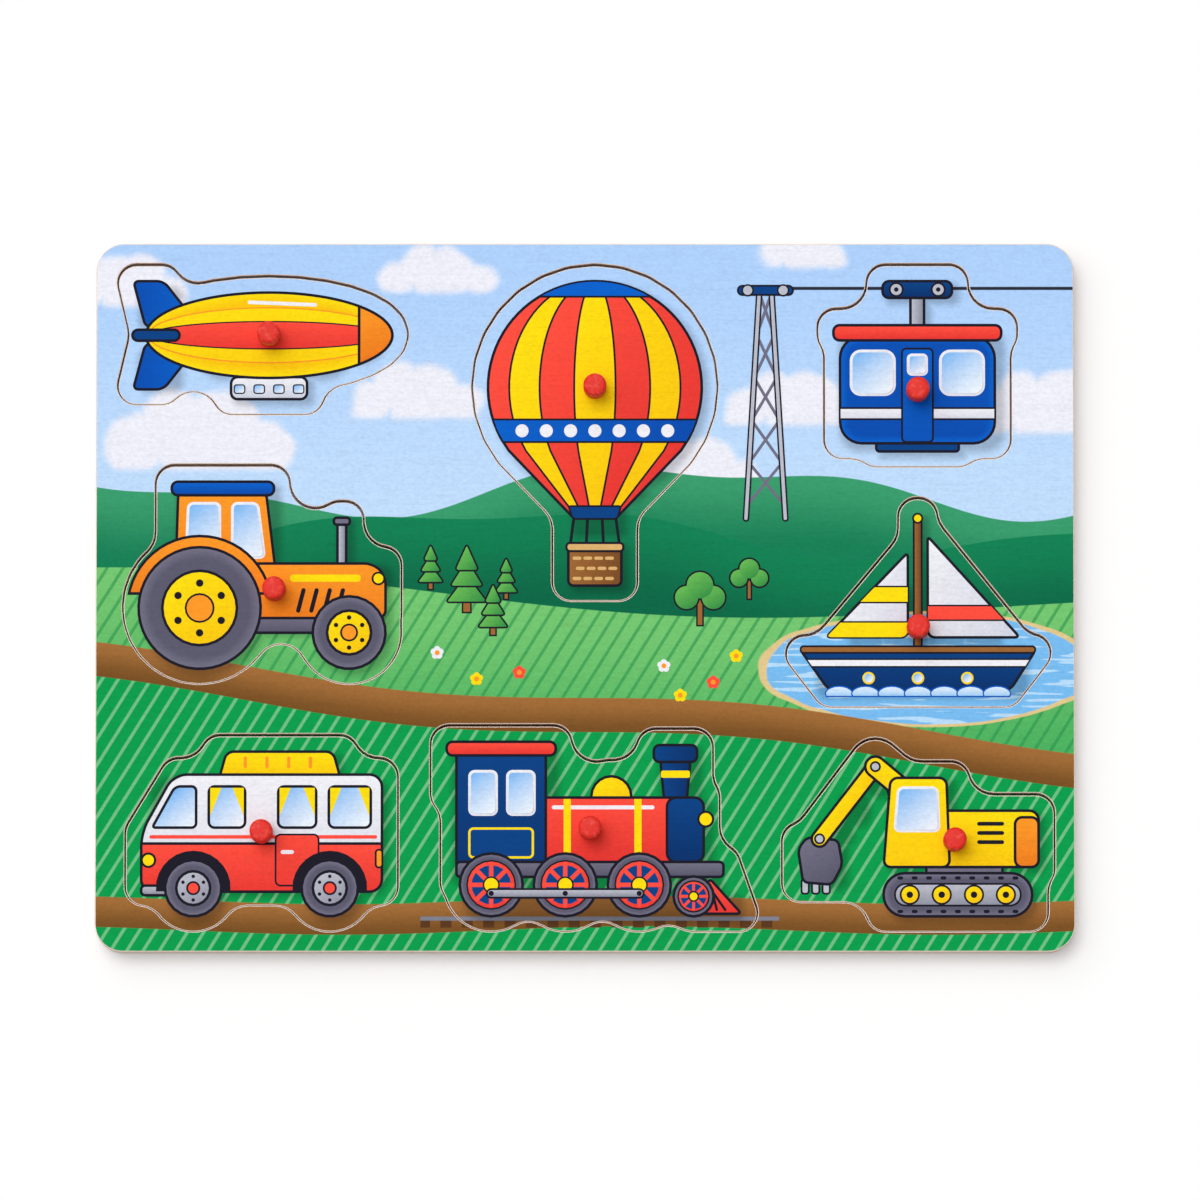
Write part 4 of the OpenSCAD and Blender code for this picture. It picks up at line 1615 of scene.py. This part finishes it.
@dataclass
class Locomotive(Vehicle):
    """A red and navy steam locomotive. Origin on the rail under the back of the cab."""

    name: str = "locomotive"
    grip: Point = (41.0, 27.0)
    masses: tuple[Patch, ...] = (
        (-2.0, 12.0, 30.0, 54.0, 2.0), (24.0, 12.0, 77.0, 37.0, 3.0), (61.0, 35.0, 73.5, 53.0, 2.0),
        (1.0, 0.0, 80.0, 18.0, 8.0), (74.0, 0.0, 86.0, 8.0, 2.0),
    )
    chimney: Outline = ((63.2, 35.0), (62.0, 48.0), (72.0, 48.0), (70.8, 35.0))
    chimney_cap: Span = (60.0, 47.0, 74.0, 53.0)
    chimney_band: Span = (62.6, 42.6, 71.4, 44.8)
    dome: Triple = (47.5, 37.0, 6.5)
    boiler: Span = (24.0, 16.5, 76.0, 37.0)
    shine: Stretch = ((30.0, 33.6), (60.0, 33.6))
    shine_w: float = 1.2
    bands_x: Row = (33.0, 54.5)
    band_w: float = 2.2
    smokebox: Span = (64.0, 16.5, 76.0, 37.0)
    lamp: Triple = (76.2, 30.0, 2.6)
    cab: Span = (0.0, 12.5, 28.0, 51.0)
    panes: tuple[Span, ...] = ((4.0, 31.0, 13.0, 45.0), (15.5, 31.0, 24.5, 45.0))
    panel: Span = (4.0, 18.0, 24.0, 27.5)
    roof: Span = (-3.0, 49.0, 31.0, 54.0)
    plate: Span = (0.0, 12.0, 82.0, 17.4)
    catcher: Outline = ((77.0, 13.0), (88.0, 0.8), (74.0, 0.8))
    catcher_bars: tuple[Stretch, ...] = (((77.9, 9.2), (79.55, 2.4)), ((78.2, 8.0), (82.1, 2.4)))
    catcher_bar_w: float = 0.8
    driver_r: float = 10.0
    drivers_x: Row = (11.0, 33.5, 56.0)
    leader: Point = (72.5, 6.5)
    rod_w: float = 3.2
    rod_drop: float = 2.6
    pin_r: float = 0.8
    spokes: int = 8
    rim_share: float = 0.76
    web_share: float = 0.6
    spoke_share: float = 0.62
    spoke_w_share: float = 0.13
    hub_share: float = 0.26

    def spoked_wheel(self, art: Artwork, x: float, radius: float) -> None:
        """Lays a wheel with a tyre, a red rim and spokes.

        Args:
            art: The picture.
            x: Place of the axle.
            radius: Radius of the wheel, which stands on the rail.
        """
        art.lay(art.disc(x, radius, radius), Inks.TYRE, fade=Fade(rim=1.0))
        rim = art.disc(x, radius, radius * self.rim_share)
        art.lay(rim, Inks.RED, line=0.5, fade=Fade(-60.0, end=0.7))
        art.lay(art.disc(x, radius, radius * self.web_share), Inks.NAVY, line=0)
        bars = self.spokes // 2
        for index in range(bars):
            angle = math.pi * index / bars
            reach = Vector((math.cos(angle), math.sin(angle))) * radius * self.spoke_share
            ends = ((x - reach.x, radius - reach.y), (x + reach.x, radius + reach.y))
            art.lay(art.bar(*ends, radius * self.spoke_w_share), Inks.RED, line=0)
        art.lay(art.disc(x, radius, radius * self.hub_share), Inks.YELLOW, line=0.5)

    def draw(self, art: Artwork) -> None:
        """Lays the chimney, dome, boiler, cab and footplate, and then the wheels with their rod.

        Args:
            art: The picture.
        """
        art.lay(art.shape(list(self.chimney), 1.3), Inks.NAVY, fade=Fade(0.0, end=0.9))
        art.lay(art.box(self.chimney_band, 0.6), Inks.YELLOW, line=0)
        art.lay(art.box(self.chimney_cap, 2.2), Inks.NAVY, fade=Fade(0.0, end=0.9))
        art.lay(art.disc(*self.dome), Inks.YELLOW, fade=Fade(-50.0, end=0.9))
        art.lay(art.box(self.boiler, 3.2), Inks.RED, fade=Fade(end=0.9))
        art.lay(art.bar(*self.shine, self.shine_w), Inks.WHITE, line=0)
        _, low, _, high = self.boiler
        for x in self.bands_x:
            art.lay(art.box((x, low, x + self.band_w, high - art.LINE_W), 0.0), Inks.YELLOW, line=0)
        art.lay(art.box(self.smokebox, 3.2), Inks.NAVY, fade=Fade(end=0.9))
        art.lay(art.disc(*self.lamp), Inks.YELLOW, line=0.7)
        art.lay(art.box(self.cab, 2.0), Inks.NAVY, fade=Fade(end=0.8))
        for span in self.panes:
            art.pane(art.box(span, 2.0))
        art.lay(art.box(self.panel, 1.6), Inks.NAVY, line=0.7, edge=Inks.YELLOW)
        art.lay(art.box(self.roof, 2.2), Inks.RED, fade=Fade(end=0.9))
        art.lay(art.shape(list(self.catcher), 2.4), Inks.RED, fade=Fade(end=0.9))
        for ends in self.catcher_bars:
            art.lay(art.bar(*ends, self.catcher_bar_w), Inks.LINE, line=0)
        art.lay(art.box(self.plate, 1.6), Inks.TYRE, fade=Fade(end=0.9))
        for x in self.drivers_x:
            self.spoked_wheel(art, x, self.driver_r)
        self.spoked_wheel(art, *self.leader)
        y = self.driver_r - self.rod_drop
        rod = ((self.drivers_x[0], y), (self.drivers_x[-1], y))
        art.lay(art.bar(*rod, self.rod_w), Inks.GREY, line=0.6, fade=Fade(end=1.0))
        for x in self.drivers_x:
            art.lay(art.disc(x, y, self.pin_r), Inks.LINE, line=0)


@dataclass
class Gondola(Vehicle):
    """A blue cable-car gondola. Origin at the middle of the cabin."""

    name: str = "gondola"
    grip: Point = (0.0, 0.0)
    masses: tuple[Patch, ...] = (
        (-25.0, -17.0, 25.0, 20.5, 6.0), (-11.0, 28.0, 11.0, 34.0, 2.0), (-2.5, 18.0, 2.5, 30.0, 1.0),
        (-13.0, -19.0, 13.0, -15.0, 1.0),
    )
    hanger: Span = (-2.5, 18.0, 2.5, 30.0)
    carriage: Span = (-11.0, 28.0, 11.0, 34.0)
    sheaves_x: Point = (-6.4, 6.4)
    sheave_y: float = 31.0
    sheave_r: float = 2.3
    axle_r: float = 0.7
    roof: Span = (-26.0, 15.0, 26.0, 20.5)
    cabin: Span = (-24.0, -16.5, 24.0, 17.0)
    cabin_round: float = 7.0
    belt: Point = (-9.0, -5.0)
    panes: tuple[Span, ...] = ((-20.6, -1.6, -6.6, 12.6), (6.6, -1.6, 20.6, 12.6))
    door: Span = (-5.0, -16.0, 5.0, 13.2)
    door_pane: Span = (-3.2, 4.6, 3.2, 11.4)
    step: Span = (-13.0, -19.0, 13.0, -15.4)

    def draw(self, art: Artwork) -> None:
        """Lays the carriage with its sheaves, the hanger, and the cabin with its windows and door.

        Args:
            art: The picture.
        """
        art.lay(art.box(self.hanger, 1.0), Inks.GREY, fade=Fade(0.0, end=1.0))
        art.lay(art.box(self.carriage, 2.4), Inks.NAVY, fade=Fade(end=0.9))
        for x in self.sheaves_x:
            art.lay(art.disc(x, self.sheave_y, self.sheave_r), Inks.GREY, line=0.6)
            art.lay(art.disc(x, self.sheave_y, self.axle_r), Inks.LINE, line=0)
        art.lay(art.box(self.step, 1.4), Inks.NAVY)
        cabin = art.box(self.cabin, self.cabin_round)
        art.lay(cabin, Inks.BLUE, fade=Fade(end=0.8, rim=2.0, rim_tone=0.7))
        belt = art.band(art.box(self.cabin, self.cabin_round), *self.belt)
        art.lay(belt, Inks.WHITE, line=0.6, fade=Fade(end=0.6))
        for span in self.panes:
            art.pane(art.box(span, 3.4))
        art.lay(art.box(self.door, 1.6), Inks.BLUE, line=0.6, fade=Fade(end=0.6))
        art.pane(art.box(self.door_pane, 1.6))
        art.lay(art.box(self.roof, 2.3), Inks.RED, fade=Fade(end=0.9))


@dataclass
class Sailboat(Vehicle):
    """A sailing boat with two sails. Origin on the deck at the foot of the mast."""

    name: str = "sailboat"
    grip: Point = (0.0, 7.0)
    masses: tuple[Patch, ...] = (
        (-32.0, -13.0, 32.0, 1.5, 3.0), (-1.5, 0.0, 1.5, 42.0, 1.0), (2.0, 3.0, 13.0, 24.0, 1.0),
        (13.0, 3.0, 24.0, 12.0, 1.0), (-12.0, 3.0, -2.0, 20.0, 1.0), (-22.0, 3.0, -12.0, 9.0, 1.0),
    )
    hull: Outline = ((-37.0, 1.2), (37.0, 1.2), (28.0, -13.0), (-27.0, -13.0))
    belt: Point = (-5.2, -2.4)
    deck: Span = (-36.0, -1.0, 36.0, 1.6)
    mast: Span = (-1.5, -1.0, 1.5, 41.0)
    knob: Triple = (0.0, 40.4, 1.7)
    main: Outline = ((2.6, 3.6), (2.6, 36.0), (32.0, 3.6))
    main_bands: tuple[Point, ...] = ((9.0, 14.0),)
    jib: Outline = ((-2.6, 3.6), (-29.0, 3.6), (-2.6, 31.0))
    jib_bands: tuple[Point, ...] = ((3.6, 9.0), (14.4, 19.8))
    ports_x: Row = (-15.0, 0.0, 15.0)
    port_y: float = -8.4
    port_r: float = 1.9
    foam_x: Row = (-24.0, -16.0, -8.0, 0.0, 8.0, 16.0, 24.0)
    foam_y: float = -13.2
    foam_size: Point = (4.4, 2.5)
    foam_foot: float = -14.2

    def draw(self, art: Artwork) -> None:
        """Lays the sails and the mast, then the hull and the water at its keel.

        Args:
            art: The picture.
        """
        for sail, bands, stripe in (
            (self.main, self.main_bands, Inks.RED), (self.jib, self.jib_bands, Inks.YELLOW),
        ):
            art.lay(art.shape(list(sail), 2.6), Inks.WHITE, fade=Fade(-30.0, end=0.8))
            for low, high in bands:
                art.lay(art.band(art.shape(list(sail), 2.6), low, high), stripe, line=0.5)
        art.lay(art.box(self.mast, 1.3), Inks.BROWN, line=0.6, fade=Fade(0.0, end=1.0))
        art.lay(art.disc(*self.knob), Inks.YELLOW, line=0.6)
        art.lay(art.shape(list(self.hull), 3.0), Inks.NAVY, fade=Fade(end=0.9))
        art.lay(art.band(art.shape(list(self.hull), 3.0), *self.belt), Inks.WHITE, line=0.5)
        art.lay(art.box(self.deck, 1.2), Inks.BROWN, line=0.6)
        for x in self.ports_x:
            port = art.disc(x, self.port_y, self.port_r)
            art.lay(port, Inks.GLASS, line=0.55, edge=Inks.YELLOW, fade=Fade.glint())
        for x in self.foam_x:
            whole = art.oval(x, self.foam_y, *self.foam_size)
            foam = art.cut(whole, (0.0, self.foam_foot), (0.0, -1.0))
            art.lay(foam, Inks.FOAM, line=0.4, edge=Inks.BLUE, fade=Fade(end=1.0))


@dataclass
class Excavator(Vehicle):
    """A yellow excavator on crawler tracks. Origin on the ground under the middle of the tracks."""

    name: str = "excavator"
    grip: Point = (-1.0, 23.5)
    masses: tuple[Patch, ...] = (
        (-8.0, 15.0, 25.0, 33.0, 3.0), (-22.0, 15.0, -2.0, 43.0, 2.0), (-23.0, 0.0, 23.0, 14.0, 7.0),
        (-48.0, 10.0, -35.0, 25.0, 3.0), (-30.0, 38.0, -20.0, 48.5, 4.0), (-37.0, 29.0, -28.0, 40.0, 4.0),
        (-42.0, 23.0, -33.0, 33.0, 4.0),
    )
    boom: Stretch = ((-1.0, 26.0), (-25.0, 46.0))
    stick: Stretch = ((-25.0, 46.0), (-42.0, 24.0))
    ram: Stretch = ((-17.0, 27.0), (-20.5, 40.0))
    boom_w: float = 7.0
    stick_w: float = 5.6
    ram_w: float = 3.0
    pin_r: float = 1.7
    bucket: Outline = (
        (-49.0, 21.0), (-46.0, 25.0), (-36.0, 24.0), (-34.6, 16.0), (-38.0, 9.6), (-47.4, 10.4),
    )
    teeth_x: Row = (-46.4, -43.2, -40.0)
    tooth_y: Point = (7.0, 12.0)
    tooth_half: float = 1.4
    house: Span = (-8.0, 15.0, 25.0, 33.0)
    weight: Span = (17.0, 15.0, 25.0, 31.0)
    vents_y: Row = (23.0, 25.8, 28.6)
    vent_x: Point = (6.5, 13.5)
    vent_w: float = 1.2
    cab: Outline = ((-23.0, 15.0), (-20.8, 43.0), (-3.0, 43.0), (-2.0, 15.0))
    cab_pane: Outline = ((-19.6, 26.0), (-18.4, 40.0), (-5.8, 40.0), (-5.2, 26.0))
    ring: Span = (-10.0, 12.6, 14.0, 17.0)
    track: Span = (-23.0, 0.0, 23.0, 14.0)
    inner: Span = (-19.4, 3.4, 19.4, 10.6)
    rollers_x: Row = (-14.6, -4.9, 4.9, 14.6)
    roller_r: float = 3.1
    axle_r: float = 1.0
    shoes: int = 9
    shoe_half: float = 0.4
    shoe_w: float = 1.0
    shoe_end: float = 5.5
    shoe_in: float = 1.9

    def draw(self, art: Artwork) -> None:
        """Lays the arm with its bucket, the house, the cab and the tracks.

        Args:
            art: The picture.
        """
        for x in self.teeth_x:
            low, high = self.tooth_y
            art.lay(art.box((x - self.tooth_half, low, x + self.tooth_half, high), 1.1), Inks.GREY, line=0.6)
        art.lay(art.shape(list(self.bucket), 1.8), Inks.TYRE, fade=Fade(-60.0, end=0.9))
        art.lay(art.bar(*self.ram, self.ram_w), Inks.GREY, line=0.6)
        art.lay(art.bar(*self.stick, self.stick_w), Inks.YELLOW, fade=Fade(-30.0, end=0.8))
        art.lay(art.bar(*self.boom, self.boom_w), Inks.YELLOW, fade=Fade(-120.0, end=0.8))
        for x, y in self.stick:
            art.lay(art.disc(x, y, self.pin_r), Inks.GREY, line=0.6)
        art.lay(art.box(self.ring, 1.4), Inks.TYRE)
        art.lay(art.box(self.house, 3.2), Inks.YELLOW, fade=Fade(end=0.8))
        art.lay(art.box(self.weight, 2.6), Inks.ORANGE, fade=Fade(end=0.8))
        for y in self.vents_y:
            left, right = self.vent_x
            art.lay(art.bar((left, y), (right, y), self.vent_w), Inks.LINE, line=0)
        art.lay(art.shape(list(self.cab), 2.6), Inks.YELLOW, fade=Fade(end=0.7))
        art.pane(art.shape(list(self.cab_pane), 2.0))
        art.lay(art.box(self.track, 6.9), Inks.TYRE, fade=Fade(rim=1.6))
        art.lay(art.box(self.inner, 3.5), Inks.GREY, line=0.6, fade=Fade(end=0.9))
        left, low, right, high = self.track
        middle = (low + high) / 2
        for x in self.rollers_x:
            roller = art.disc(x, middle, self.roller_r)
            art.lay(roller, Inks.YELLOW, line=0.6, fade=Fade(-60.0, end=0.9))
            art.lay(art.disc(x, middle, self.axle_r), Inks.LINE, line=0)
        length = right - left - 2 * self.shoe_end
        for index in range(self.shoes):
            x = left + self.shoe_end + length * index / (self.shoes - 1)
            for y in (low + self.shoe_in, high - self.shoe_in):
                ends = ((x - self.shoe_half, y), (x + self.shoe_half, y))
                art.lay(art.bar(*ends, self.shoe_w), Inks.LINE, line=0)


@dataclass
class Scenery:
    """Trees, flowers and the cable pylon, printed on the frame board between the wells.

    Pines and trees are given by their foot and height. The sizes of trunks, tiers and crowns are shares of
    that height, and the ring and heart of a flower are shares of the radius of a petal.
    """

    pines: tuple[Triple, ...] = (
        (-47.0, 2.0, 15.0), (-24.0, -1.0, 14.0), (-36.0, -5.0, 22.0), (-28.0, -12.0, 17.0),
    )
    trees: tuple[Triple, ...] = ((50.0, -1.0, 13.0), (35.0, -9.0, 17.0))
    trunk_half: float = 0.07
    pine_trunk: float = 0.24
    tree_trunk: float = 0.5
    tiers: tuple[Triple, ...] = ((0.14, 0.56, 0.32), (0.36, 0.78, 0.26), (0.58, 1.0, 0.19))
    crown: tuple[Triple, ...] = ((-0.24, 0.52, 0.24), (0.24, 0.52, 0.24), (0.0, 0.74, 0.27))
    crown_line: float = 0.55
    flowers: tuple[tuple[float, float, Inks], ...] = (
        (-45.0, -17.0, Inks.WHITE), (-20.0, -23.0, Inks.RED), (-33.0, -25.0, Inks.YELLOW),
        (24.0, -21.0, Inks.WHITE), (46.0, -18.0, Inks.YELLOW), (39.0, -26.0, Inks.RED),
        (29.0, -30.0, Inks.YELLOW),
    )
    petals: int = 5
    petal_r: float = 0.95
    petal_ring: float = 1.15
    heart: float = 0.8
    pylon_x: float = 55.0
    pylon_foot: float = 24.0
    pylon_top: float = 94.4
    pylon_half: Point = (6.0, 1.8)
    leg_w: float = 2.0
    braces: int = 5
    brace_w: float = 0.9
    brace_from: float = 0.3
    brace_spare: float = 0.4
    arm_drop: float = 0.6
    arm_half: float = 7.0
    arm_w: float = 3.4
    sheave_x: float = 5.4
    sheave_r: float = 1.9

    def trunk(self, art: Artwork, x: float, foot: float, half: float, top: float) -> None:
        """Lays the trunk of a pine or a tree.

        Args:
            art: The picture.
            x: Its middle.
            foot: Height of the ground.
            half: Half of its width.
            top: Height of its upper end.
        """
        art.lay(art.box((x - half, foot, x + half, top), 0.0), Inks.BROWN, line=0.5)

    def pine(self, art: Artwork, x: float, foot: float, height: float) -> None:
        """Lays a conifer of three tiers on a short trunk.

        Args:
            art: The picture.
            x: Its middle.
            foot: Height of the ground.
            height: Its height.
        """
        self.trunk(art, x, foot, self.trunk_half * height, foot + self.pine_trunk * height)
        for low, high, half in self.tiers:
            hem = foot + low * height
            skirt = [(x - half * height, hem), (x + half * height, hem), (x, foot + high * height)]
            art.lay(art.shape(skirt, 1.8), Inks.LEAF, line=0.55, fade=Fade(-40.0, end=1.0))

    def tree(self, art: Artwork, x: float, foot: float, height: float) -> None:
        """Lays a broad-leaved tree with a crown of three rounds.

        Args:
            art: The picture.
            x: Its middle.
            foot: Height of the ground.
            height: Its height.
        """
        self.trunk(art, x, foot, self.trunk_half * height, foot + self.tree_trunk * height)
        for grow, ink in ((0.0, Inks.LINE), (-self.crown_line, Inks.LEAF)):
            for dx, dy, radius in self.crown:
                leaves = art.disc(x + dx * height, foot + dy * height, radius * height + grow)
                art.lay(leaves, ink, line=0, fade=Fade(-60.0, end=0.9))

    def flower(self, art: Artwork, x: float, y: float, ink: Inks) -> None:
        """Lays a flower head with round petals.

        Args:
            art: The picture.
            x: Its middle along the board.
            y: Its middle up the board.
            ink: Ink of the petals.
        """
        ring = self.petal_r * self.petal_ring
        for index in range(self.petals):
            angle = 2 * math.pi * index / self.petals + math.pi / 2
            spot = (x + ring * math.cos(angle), y + ring * math.sin(angle))
            art.lay(art.disc(*spot, self.petal_r), ink, line=0)
        art.lay(art.disc(x, y, self.petal_r * self.heart), Inks.ORANGE, line=0)

    def pylon(self, art: Artwork) -> None:
        """Lays a lattice mast with an arm that carries the cable.

        Args:
            art: The picture.
        """
        middle = self.pylon_x
        foot_half, top_half = self.pylon_half
        legs = [
            [(middle + side * foot_half, self.pylon_foot), (middle + side * top_half, self.pylon_top)]
            for side in (-1, 1)
        ]
        shares = [
            (index + self.brace_from) / (self.braces + self.brace_spare) for index in range(self.braces + 1)
        ]
        rungs = [[Vector(low).lerp(Vector(high), share) for low, high in legs] for share in shares]
        for below, above in zip(rungs, rungs[1:]):
            art.lay(art.bar(tuple(below[0]), tuple(above[1]), self.brace_w), Inks.TYRE, line=0)
            art.lay(art.bar(tuple(below[1]), tuple(above[0]), self.brace_w), Inks.TYRE, line=0)
        for low, high in legs:
            art.lay(art.bar(low, high, self.leg_w), Inks.GREY, line=0.5)
        arm_y = self.pylon_top - self.arm_drop
        arm = art.bar((middle - self.arm_half, arm_y), (middle + self.arm_half, arm_y), self.arm_w)
        art.lay(arm, Inks.NAVY, line=0.6)
        for side in (-1, 1):
            art.lay(art.disc(middle + side * self.sheave_x, arm_y, self.sheave_r), Inks.GREY, line=0.5)

    def build(self) -> None:
        """Prints the scenery on the frame board."""
        art = Artwork()
        self.pylon(art)
        for x, foot, height in self.pines:
            self.pine(art, x, foot, height)
        for x, foot, height in self.trees:
            self.tree(art, x, foot, height)
        for x, y, ink in self.flowers:
            self.flower(art, x, y, ink)
        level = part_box("frame_board")[1].z
        title = "scenery_picture"
        place_piece(title, art.mesh(title, Vector((0.0, 0.0, level))), "board")


VEHICLES: tuple[type[Vehicle], ...] = (
    Airship, Tractor, Camper, Balloon, Locomotive, Gondola, Sailboat, Excavator,
)


class Puzzle:
    """The boards and the pieces with their pegs."""

    def build(self) -> None:
        """Makes every wooden piece, its print and its paint."""
        landscape = Landscape()
        edge = PlyEdge().material("sawn_edge")
        veneer = BareVeneer().material("bare_veneer")
        finishes = {Side.FACE: landscape.material("board_print", []), Side.EDGE: edge, Side.UNDER: veneer}
        SawnBoard("frame_board", "board", "printed_sheet", finishes).build()
        SawnBoard("backing_board", "board", "backing", finishes, Side.UNDER).build()
        Scenery().build()
        red = PegPaint().material("peg_paint")
        for kind in VEHICLES:
            vehicle = kind()
            printed = landscape.material(vehicle.name + "_print", vehicle.shapes())
            sides = {**finishes, Side.FACE: printed}
            SawnBoard(vehicle.name + "_piece", vehicle.name, "printed_sheet", sides).build()
            vehicle.build()
            Peg(vehicle.name, red).build()


@dataclass(frozen=True)
class Lamp:
    """A far lamp: its strength, its width in degrees and the way it leans from straight above."""

    name: str
    strength: float
    spread: float
    lean: Point

    def build(self, scene: bpy.types.Scene) -> None:
        """Puts the lamp in the scene.

        Args:
            scene: The scene.
        """
        light = bpy.data.lights.new(self.name, "SUN")
        light.energy = self.strength
        light.angle = math.radians(self.spread)
        lamp = bpy.data.objects.new(self.name, light)
        lamp.rotation_euler = Vector((*self.lean, 1.0)).to_track_quat("Z", "Y").to_euler()
        scene.collection.objects.link(lamp)


@dataclass
class Studio:
    """A pale floor, soft light from the upper left and a camera above the board, a little in front of it."""

    lens: float = 400.0
    sensor: float = 36.0
    picture: float = 1200.0
    board_px: float = 979.0
    aim_px: Point = (15.0, 3.0)
    elevation: float = 85.5
    floor_size: float = 6.0
    floor_colour: Colour = paint(231, 231, 231)
    floor_grain: Grain = Grain((0.4, 0.4, 0.4))
    floor_gap: float = 0.05
    floor_glow: float = 0.2
    sky_light: float = 0.3
    lamps: tuple[Lamp, ...] = (Lamp("key", 1.0, 28.0, (-0.2, 0.28)), Lamp("fill", 1.4, 76.0, (-0.36, 0.34)))

    def build(self) -> None:
        """Makes the floor, the lights and the camera."""
        scene = bpy.context.scene
        scene.view_settings.view_transform = "Standard"
        self.floor()
        self.light(scene)
        self.camera(scene)

    def floor(self) -> None:
        """Makes the floor that the board lies on."""
        bm = bmesh.new()
        bmesh.ops.create_grid(bm, x_segments=1, y_segments=1, size=self.floor_size / 2)
        bmesh.ops.translate(bm, vec=(0.0, 0.0, -self.floor_gap * MM), verts=bm.verts)
        mesh = bpy.data.meshes.new("floor")
        bm.to_mesh(mesh)
        bm.free()
        graph = Graph("pale_floor")
        graph.feed(graph.shader.inputs["Emission Color"], (1.0, 1.0, 1.0, 1.0))
        seen = Field(graph, self.shown(graph.tree))
        graph.feed(graph.shader.inputs["Emission Strength"], seen * self.floor_glow)
        grain = graph.noise(self.floor_grain)
        finish = graph.dress(self.floor_colour, roughness=0.9, height=grain, depth=0.02, shine=0.0)
        mesh.materials.append(finish)
        floor = bpy.data.objects.new("floor", mesh)
        bpy.context.scene.collection.objects.link(floor)

    def shown(self, tree: bpy.types.NodeTree) -> bpy.types.NodeSocket:
        """Tells the rays that show the background from those that only light the object.

        Args:
            tree: Nodes of the floor or of the world.

        Returns:
            An output that is 1 to the camera, in reflections and through glass, and otherwise 0.
        """
        path = tree.nodes.new("ShaderNodeLightPath")
        seen = path.outputs["Is Camera Ray"]
        for ray in ("Is Glossy Ray", "Is Transmission Ray"):
            either = tree.nodes.new("ShaderNodeMath")
            either.operation = "MAXIMUM"
            tree.links.new(seen, either.inputs[0])
            tree.links.new(path.outputs[ray], either.inputs[1])
            seen = either.outputs[0]
        return seen

    def light(self, scene: bpy.types.Scene) -> None:
        """Lights the board evenly, with lamps that give the shadows their side.

        Args:
            scene: The scene.
        """
        world = bpy.data.worlds.new("studio")
        world.use_nodes = True
        tree = world.node_tree
        background = tree.nodes["Background"]
        strength = tree.nodes.new("ShaderNodeMix")
        tree.links.new(self.shown(tree), strength.inputs[0])
        strength.inputs[2].default_value = self.sky_light
        strength.inputs[3].default_value = 1.0
        tree.links.new(strength.outputs[0], background.inputs["Strength"])
        background.inputs["Color"].default_value = (1.0, 1.0, 1.0, 1.0)
        scene.world = world
        for lamp in self.lamps:
            lamp.build(scene)

    def camera(self, scene: bpy.types.Scene) -> None:
        """Sets the camera so that the board fills as much of the picture as it does in the photograph.

        Args:
            scene: The scene.
        """
        low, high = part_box("frame_board")
        per_px = (high.x - low.x) / self.board_px
        far = self.lens * per_px * self.picture / self.sensor
        aim = Vector((self.aim_px[0] * per_px, -self.aim_px[1] * per_px, high.z))
        tilt = math.radians(self.elevation)
        away = Vector((0.0, -math.cos(tilt), math.sin(tilt)))
        lens = bpy.data.cameras.new("camera")
        lens.lens = self.lens
        lens.sensor_width = self.sensor
        camera = bpy.data.objects.new("camera", lens)
        camera.location = aim + away * far
        camera.rotation_euler = away.to_track_quat("Z", "Y").to_euler()
        scene.collection.objects.link(camera)
        scene.camera = camera


def main() -> None:
    """Builds the puzzle and the studio."""
    logging.basicConfig(level=logging.INFO)
    Puzzle().build()
    Studio().build()
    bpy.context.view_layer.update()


if __name__ == "__main__":
    main()
